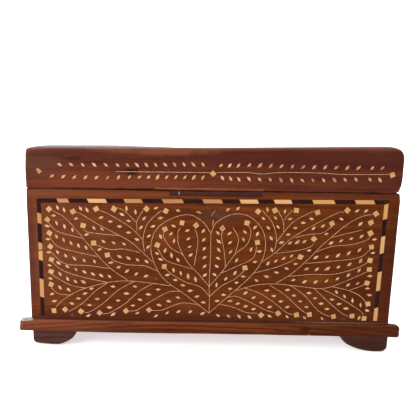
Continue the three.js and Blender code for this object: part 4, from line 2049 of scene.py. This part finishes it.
RIGHT_LEAVES = (
    LeafRow(2, ((357, 211), (366, 211)), 42),
    LeafRow(2, ((374.5, 239.5), (373, 253)), 11),
    LeafRow(2, ((370, 276), (367.5, 288.5)), 3),
    LeafRow(2, ((369.5, 295), (367, 310.5)), 0),
    LeafRow(1, ((360.5, 224),), 38),
    LeafRow(4, ((361.5, 236.5), (331, 243)), 37),
    LeafRow(5, ((359.5, 250), (338, 255.5), (316, 257.5)), 49, 32),
    LeafRow(6, ((360.5, 261), (333, 268), (306.5, 269)), 56, 28),
    LeafRow(7, ((359, 270.5), (326.5, 281), (293.5, 280)), 54, 28),
    LeafRow(2, ((357.5, 283.5), (348, 285)), 35),
    LeafRow(4, ((336.5, 292), (360.5, 305)), -48, -88),
    LeafRow(3, ((332, 299.5), (346, 308.5)), -2),
    LeafRow(4, ((309, 293), (327, 309)), 5),
    LeafRow(4, ((287.5, 290), (306.5, 307)), 5),
    LeafRow(4, ((267, 290.5), (287.5, 307)), 9),
    LeafRow(4, ((245.5, 293), (269.5, 307)), 23, 8),
    LeafRow(4, ((230, 301), (253.5, 309)), 15),
    LeafRow(4, ((218, 315.5), (249.5, 317)), -37),
    LeafRow(4, ((269.5, 316), (322, 318.5)), -31, -58),
    LeafRow(1, ((359, 318),), 68),
    LeafRow(2, ((341.5, 219), (326.5, 234)), -20, 10),
    LeafRow(2, ((309, 250.5), (295.5, 264)), 3),
    LeafRow(4, ((286.5, 268.5), (256.5, 280.5)), -7, -31),
    LeafRow(2, ((323, 226), (313.5, 228.5)), 41),
    LeafRow(3, ((304.5, 241.5), (290, 243)), 32),
    LeafRow(4, ((291.5, 256), (268, 263.5)), 44),
    LeafRow(5, ((311.5, 219), (295.5, 228), (281.5, 242.5)), -18, 25),
    LeafRow(1, ((290, 219),), 14),
    LeafRow(1, ((285, 211.5),), 77),
    LeafRow(1, ((267.5, 209.5),), -83),
    LeafRow(2, ((275.5, 218), (278, 227)), -46),
    LeafRow(4, ((263.5, 218.5), (270, 233), (272, 250)), -33, -64),
    LeafRow(2, ((228, 209.5), (238, 208.5)), 41),
    LeafRow(6, ((218, 233), (218.5, 254), (214.5, 274.5)), -44, -36),
    LeafRow(3, ((229.5, 233.5), (230.5, 252)), 43),
    LeafRow(2, ((245, 232), (243.5, 239.5)), -54),
    LeafRow(2, ((255, 227.5), (257.5, 234)), 54),
    LeafRow(1, ((251, 249.5),), 70),
    LeafRow(2, ((259.5, 251.5), (255, 262)), 16),
    LeafRow(1, ((236.5, 260.5),), 52),
    LeafRow(3, ((235, 273), (216.5, 285)), 55, 70),
    LeafRow(5, ((243, 276.5), (217, 301)), 7),
)

LID_LEAVES = (
    LeafRow(6, ((59.5, 164.5), (117.5, 165)), -32, -42, tone=0.6),
    LeafRow(9, ((127.5, 165), (203, 164.5)), -48, -56, tone=0.55),
    LeafRow(8, ((52, 176), (91, 177.5), (129.5, 177)), 38, 55, tone=0.35),
    LeafRow(8, ((139.5, 177), (203, 177.5)), 42, 60, tone=0.6),
    LeafRow(3, ((221, 165.5), (238.5, 165.5)), 46),
    LeafRow(11, ((249.5, 165), (303.3, 166.9), (358.5, 168)), 46, tone=0.35),
    LeafRow(2, ((372.5, 168), (382.5, 168)), 45, tone=0.45),
    LeafRow(3, ((222.5, 178), (239, 179.5)), -52),
    LeafRow(11, ((249, 179), (302.3, 180.4), (356, 179.5)), -46, -55, tone=0.5),
    LeafRow(2, ((370, 179.5), (380, 180)), -58),
)
LID_STEMS = (
    Stem(((116, 171.5), (160, 172), (209, 172.5))),
    Stem(((217, 172.5), (246, 172.5), (262, 174), (282, 172.5), (320, 173), (345, 174.5), (388.5, 174.5))),
)
LID_SQUARES = (LoneSquare((213, 173.5), 45), LoneSquare((392.5, 175), 25))
# What is left of the chipped square at the left end of the lid's stem
CHIPPED_SQUARE = ((35.8, 168.8), (38.8, 174.2), (42.1, 171.4), (38.4, 168.2))


@dataclass(frozen=True)
class InlayFinishes:
    """The finishes of a vine's parts."""

    bone: CamelBone = CamelBone("scraped_bone_slip", "#9d683a", "#c58e4f", "#d6a573", ToneSource.MESH)
    wire: HammeredWire = HammeredWire("hammered_brass_wire", "#c48d5c", "#eebc88", 0.6)
    lac: DarkInlay = DarkInlay("black_lac_bed", "#37170c", "#4a2212", 0.55)

    def materials(self) -> dict[str, Material]:
        """Builds the materials, by the record's finish that each of them stands for."""
        return {
            "bone": self.bone.material(),
            "brass_wire": self.wire.material(),
            "ebony": self.lac.material(),
        }


@dataclass
class BoneVine:
    """The vine: wire stems, bone squares and bone leaves, bedded in dark lac, in millimetres.

    Attributes:
        name: Starts the names of its pieces.
        face: The face that it is let into.
        spot: Gives the place on the face, in millimetres, of a point that the vine is drawn with.
        materials: The materials of its parts.
        stems: Its wires.
        rows: Its leaves.
        squares: Squares that are no stem's own.
        chipped: The corners of a slip that is partly lost.
        fill: The corners of a dark fill.
        rubbed: Wires that are nearly rubbed away.
        cracks: Cracks with dirt in them.
        hole: The dirty hole in a square.
        seed: Sets its unevenness apart.
    """

    name: str
    face: Face
    spot: Callable[[Pixel], Vector]
    materials: dict[str, Material]
    stems: tuple[Stem, ...]
    rows: tuple[LeafRow, ...]
    squares: tuple[LoneSquare, ...] = ()
    chipped: tuple[Pixel, ...] = ()
    fill: tuple[Pixel, ...] = ()
    rubbed: tuple[Stem, ...] = ()
    cracks: tuple[Stem, ...] = ()
    hole: Pixel | None = None
    seed: int = 5
    wire_width: float = 0.35
    rubbed_width: float = 0.3
    wire_step: float = 1.2
    square_side: float = 4.0
    leaf_length: float = 4.8
    leaf_width: float = 2.3
    lac_width: float = 0.34
    hole_width: float = 1.3
    crack_width: float = 0.9
    proud: float = 0.04
    lac_proud: float = 0.015
    lac_eased: float = 0.02
    hole_sides: int = 9
    square_tones: tuple[float, float] = (0.3, 0.6)
    chipped_tone: float = 0.15
    # How far the hand strays: in a corner's angle (radians) and reach, and in a leaf's lean (degrees),
    # size and shade
    angle_slack: float = 0.04
    reach_slack: float = 0.05
    lean_slack: float = 6.0
    size_slack: float = 0.07
    tone_slack: float = 0.2

    def path(self, stem: Stem) -> list[Vector]:
        """Returns points along the middle of a stem's wire, across and up."""
        return smooth_path([self.spot(knot) for knot in stem.knots], self.wire_step)

    def slip(self, middle: Vector, turn: float, reach: Sequence[float], loose: random.Random) -> list[Vector]:
        """Draws the outline of a hand-cut four-cornered slip.

        Args:
            middle: Its middle, across and up.
            turn: The angle of its first corner, in radians.
            reach: How far its corners lie from the middle, in order.
            loose: Gives the unevenness of the hand.

        Returns:
            The corners, anticlockwise.
        """
        outline = []
        for index, distance in enumerate(reach):
            angle = turn + math.pi / 2 * index + loose.gauss(0, self.angle_slack)
            far = distance * (1 + loose.gauss(0, self.reach_slack))
            outline.append(middle + Vector((math.cos(angle), math.sin(angle))) * far)
        return outline

    def build(self) -> list[Piece]:
        """Makes the wires, the bone and the lac bed.

        Returns:
            The new pieces.
        """
        loose = random.Random(self.seed)
        wires = Inlay(self.face, self.proud)
        bone = Inlay(self.face, self.proud)
        lac = Inlay(self.face, self.lac_proud, eased=self.lac_eased)
        dirt = Inlay(self.face, self.proud + self.lac_proud, eased=self.lac_eased)

        def let_in(outline: list[Vector], tone: float) -> None:
            """Adds a bone slip and the lac round it."""
            bone.add_slip(outline, tone)
            lac.add_slip(grown(outline, self.lac_width), PLAIN_TONE)

        def let_in_square(place: Pixel, turn: float) -> None:
            """Adds a bone square, whose first corner is an eighth of a turn on from upright.

            Args:
                place: Its middle, as the vine is drawn.
                turn: How far it is turned from upright, in degrees.
            """
            corner = math.radians(turn) + math.pi / 4
            reach = (self.square_side / math.sqrt(2),) * 4
            let_in(self.slip(self.spot(place), corner, reach, loose), loose.uniform(*self.square_tones))

        for stem in self.stems:
            path = self.path(stem)
            wires.add_wire(path, self.wire_width)
            lac.add_wire(path, self.wire_width + 2 * self.lac_width)
            if stem.square:
                let_in_square(stem.square, stem.turn)
        for square in self.squares:
            let_in_square(square.place, square.turn)
        if self.chipped:
            let_in([self.spot(corner) for corner in self.chipped], self.chipped_tone)
        for row in self.rows:
            for place, tilt in row.leaves():
                turn = math.radians(tilt + loose.gauss(0, self.lean_slack))
                size = 1 + loose.gauss(0, self.size_slack)
                reach = [size * side / 2 for side in (self.leaf_length, self.leaf_width)] * 2
                tone = held(loose.gauss(row.tone, self.tone_slack))
                let_in(self.slip(self.spot(place), turn, reach, loose), tone)
        for stem in self.rubbed:
            wires.add_wire(self.path(stem), self.rubbed_width)
        if self.hole:
            around = [2 * math.pi * k / self.hole_sides for k in range(self.hole_sides)]
            rim = [Vector((math.cos(a), math.sin(a))) * self.hole_width / 2 for a in around]
            dirt.add_slip([self.spot(self.hole) + corner for corner in rim], PLAIN_TONE)
        for crack in self.cracks:
            dirt.add_wire(self.path(crack), self.crack_width)
        if self.fill:
            dirt.add_slip([self.spot(corner) for corner in self.fill], PLAIN_TONE)
        parts = ((wires, "wire", "brass_wire"), (bone, "bone", "bone"), (lac, "lac", "ebony"))
        if dirt.points:
            parts += ((dirt, "dirt", "ebony"),)
        return [part.build(f"{self.name}_{kind}", self.materials[slot], slot) for part, kind, slot in parts]


@dataclass
class LidBands:
    """Plain bands of inlay on the two ends and the back of the lid, which the photograph doesn't show.

    Each is a straight stem with a square in the middle and leaves above and below, in millimetres.
    """

    materials: dict[str, Material]
    lid: LidBoards
    margin: float = 16.0
    middle_gap: float = 4.5
    leaf_gap: float = 6.5
    leaf_step: float = 12.0
    leaf_tilt: float = 45.0
    turn: float = 45.0
    back_seed: int = 7
    left_seed: int = 7
    right_seed: int = 9

    def band(self, name: str, face: Face, half: float, seed: int) -> list[Piece]:
        """Makes one band.

        Args:
            name: Starts the names of its pieces.
            face: The side of the lid, with its origin in the middle of the band.
            half: Half the length of the side.
            seed: Sets its unevenness apart.

        Returns:
            The new pieces.
        """
        end = half - self.margin
        count = round((end - self.leaf_step) / self.leaf_step)
        stems = []
        rows = []
        for side in (-1, 1):
            stems.append(Stem(((side * self.middle_gap, 0.0), (side * end, 0.0))))
            for up in (-1, 1):
                places = ((side * self.leaf_step, up * self.leaf_gap), (side * end, up * self.leaf_gap))
                rows.append(LeafRow(count, places, side * up * self.leaf_tilt))
        squares = (LoneSquare((0.0, 0.0), self.turn),)
        vine = BoneVine(name, face, Vector, self.materials, tuple(stems), tuple(rows), squares, seed=seed)
        return vine.build()

    def build(self) -> list[Piece]:
        """Makes the three bands.

        Returns:
            The new pieces.
        """
        low, high = box_mm("lid_back_rail")
        left, right = box_mm("lid_left_rail")[1], box_mm("lid_right_rail")[1]
        upright = Vector((0.0, 0.0, 1.0))
        middle = (left.z + low.z) / 2
        back = Face(Vector((0.0, high.y, middle)), Vector((-1.0, 0.0, 0.0)), upright)
        pieces = self.band("lid_back_band", back, high.x, self.back_seed)
        ends = (
            ("left", -1, self.lid.spread_left, left, self.left_seed),
            ("right", 1, self.lid.spread_right, right, self.right_seed),
        )
        for name, side, spread, top, seed in ends:
            lean = (spread[1] - spread[0]) / (high.z - low.z)
            middle = (top.z + low.z) / 2
            out = spread[0] + lean * (middle - low.z)
            origin = Vector((side * (high.x + out), 0.0, middle))
            up = Vector((side * lean, 0.0, 1.0)).normalized()
            face = Face(origin, Vector((0.0, float(side), 0.0)), up)
            pieces += self.band(f"lid_{name}_band", face, high.y, seed)
        return pieces


def front_face(node: str) -> Face:
    """Returns the front of a board as a face that is measured from the middle of the floor."""
    return Face(Vector((0.0, box_mm(node)[0].y, 0.0)), Vector((1.0, 0.0, 0.0)), Vector((0.0, 0.0, 1.0)))


def main() -> None:
    """Builds the camera, the studio and the box in order, and reports every piece."""
    logging.basicConfig(level=logging.INFO, format="%(name)s: %(message)s")
    camera = PhotoCamera()
    camera.build()
    Studio().build()
    materials = InlayFinishes().materials()
    front, lid_front = front_face("front_board"), front_face("lid_front_rail")
    lid = LidBoards()
    assemblies = (
        FootSet(),
        Base(),
        BodyBoards(),
        BorderTiles(),
        RepairStrips(),
        lid,
        BoneVine(
            "field_vine",
            front,
            partial(camera.cast, face_y=front.origin.y),
            materials,
            HEART_STEMS + LEFT_STEMS + RIGHT_STEMS,
            LEFT_LEAVES + RIGHT_LEAVES,
            squares=(LOOSE_SQUARE,),
            chipped=CHIPPED_LEAF,
            fill=CORNER_FILL,
            rubbed=RUBBED_WIRES,
            cracks=(TILE_CRACK,),
            hole=SQUARE_HOLE,
        ),
        BoneVine(
            "lid_vine",
            lid_front,
            partial(camera.cast, face_y=lid_front.origin.y),
            materials,
            LID_STEMS,
            LID_LEAVES,
            squares=LID_SQUARES,
            chipped=CHIPPED_SQUARE,
            seed=6,
        ),
        LidBands(materials, lid),
    )
    for assembly in assemblies:
        for piece in assembly.build():
            LOG.info("%s has %d points", piece.name, len(piece.data.vertices))


if __name__ == "__main__":
    main()
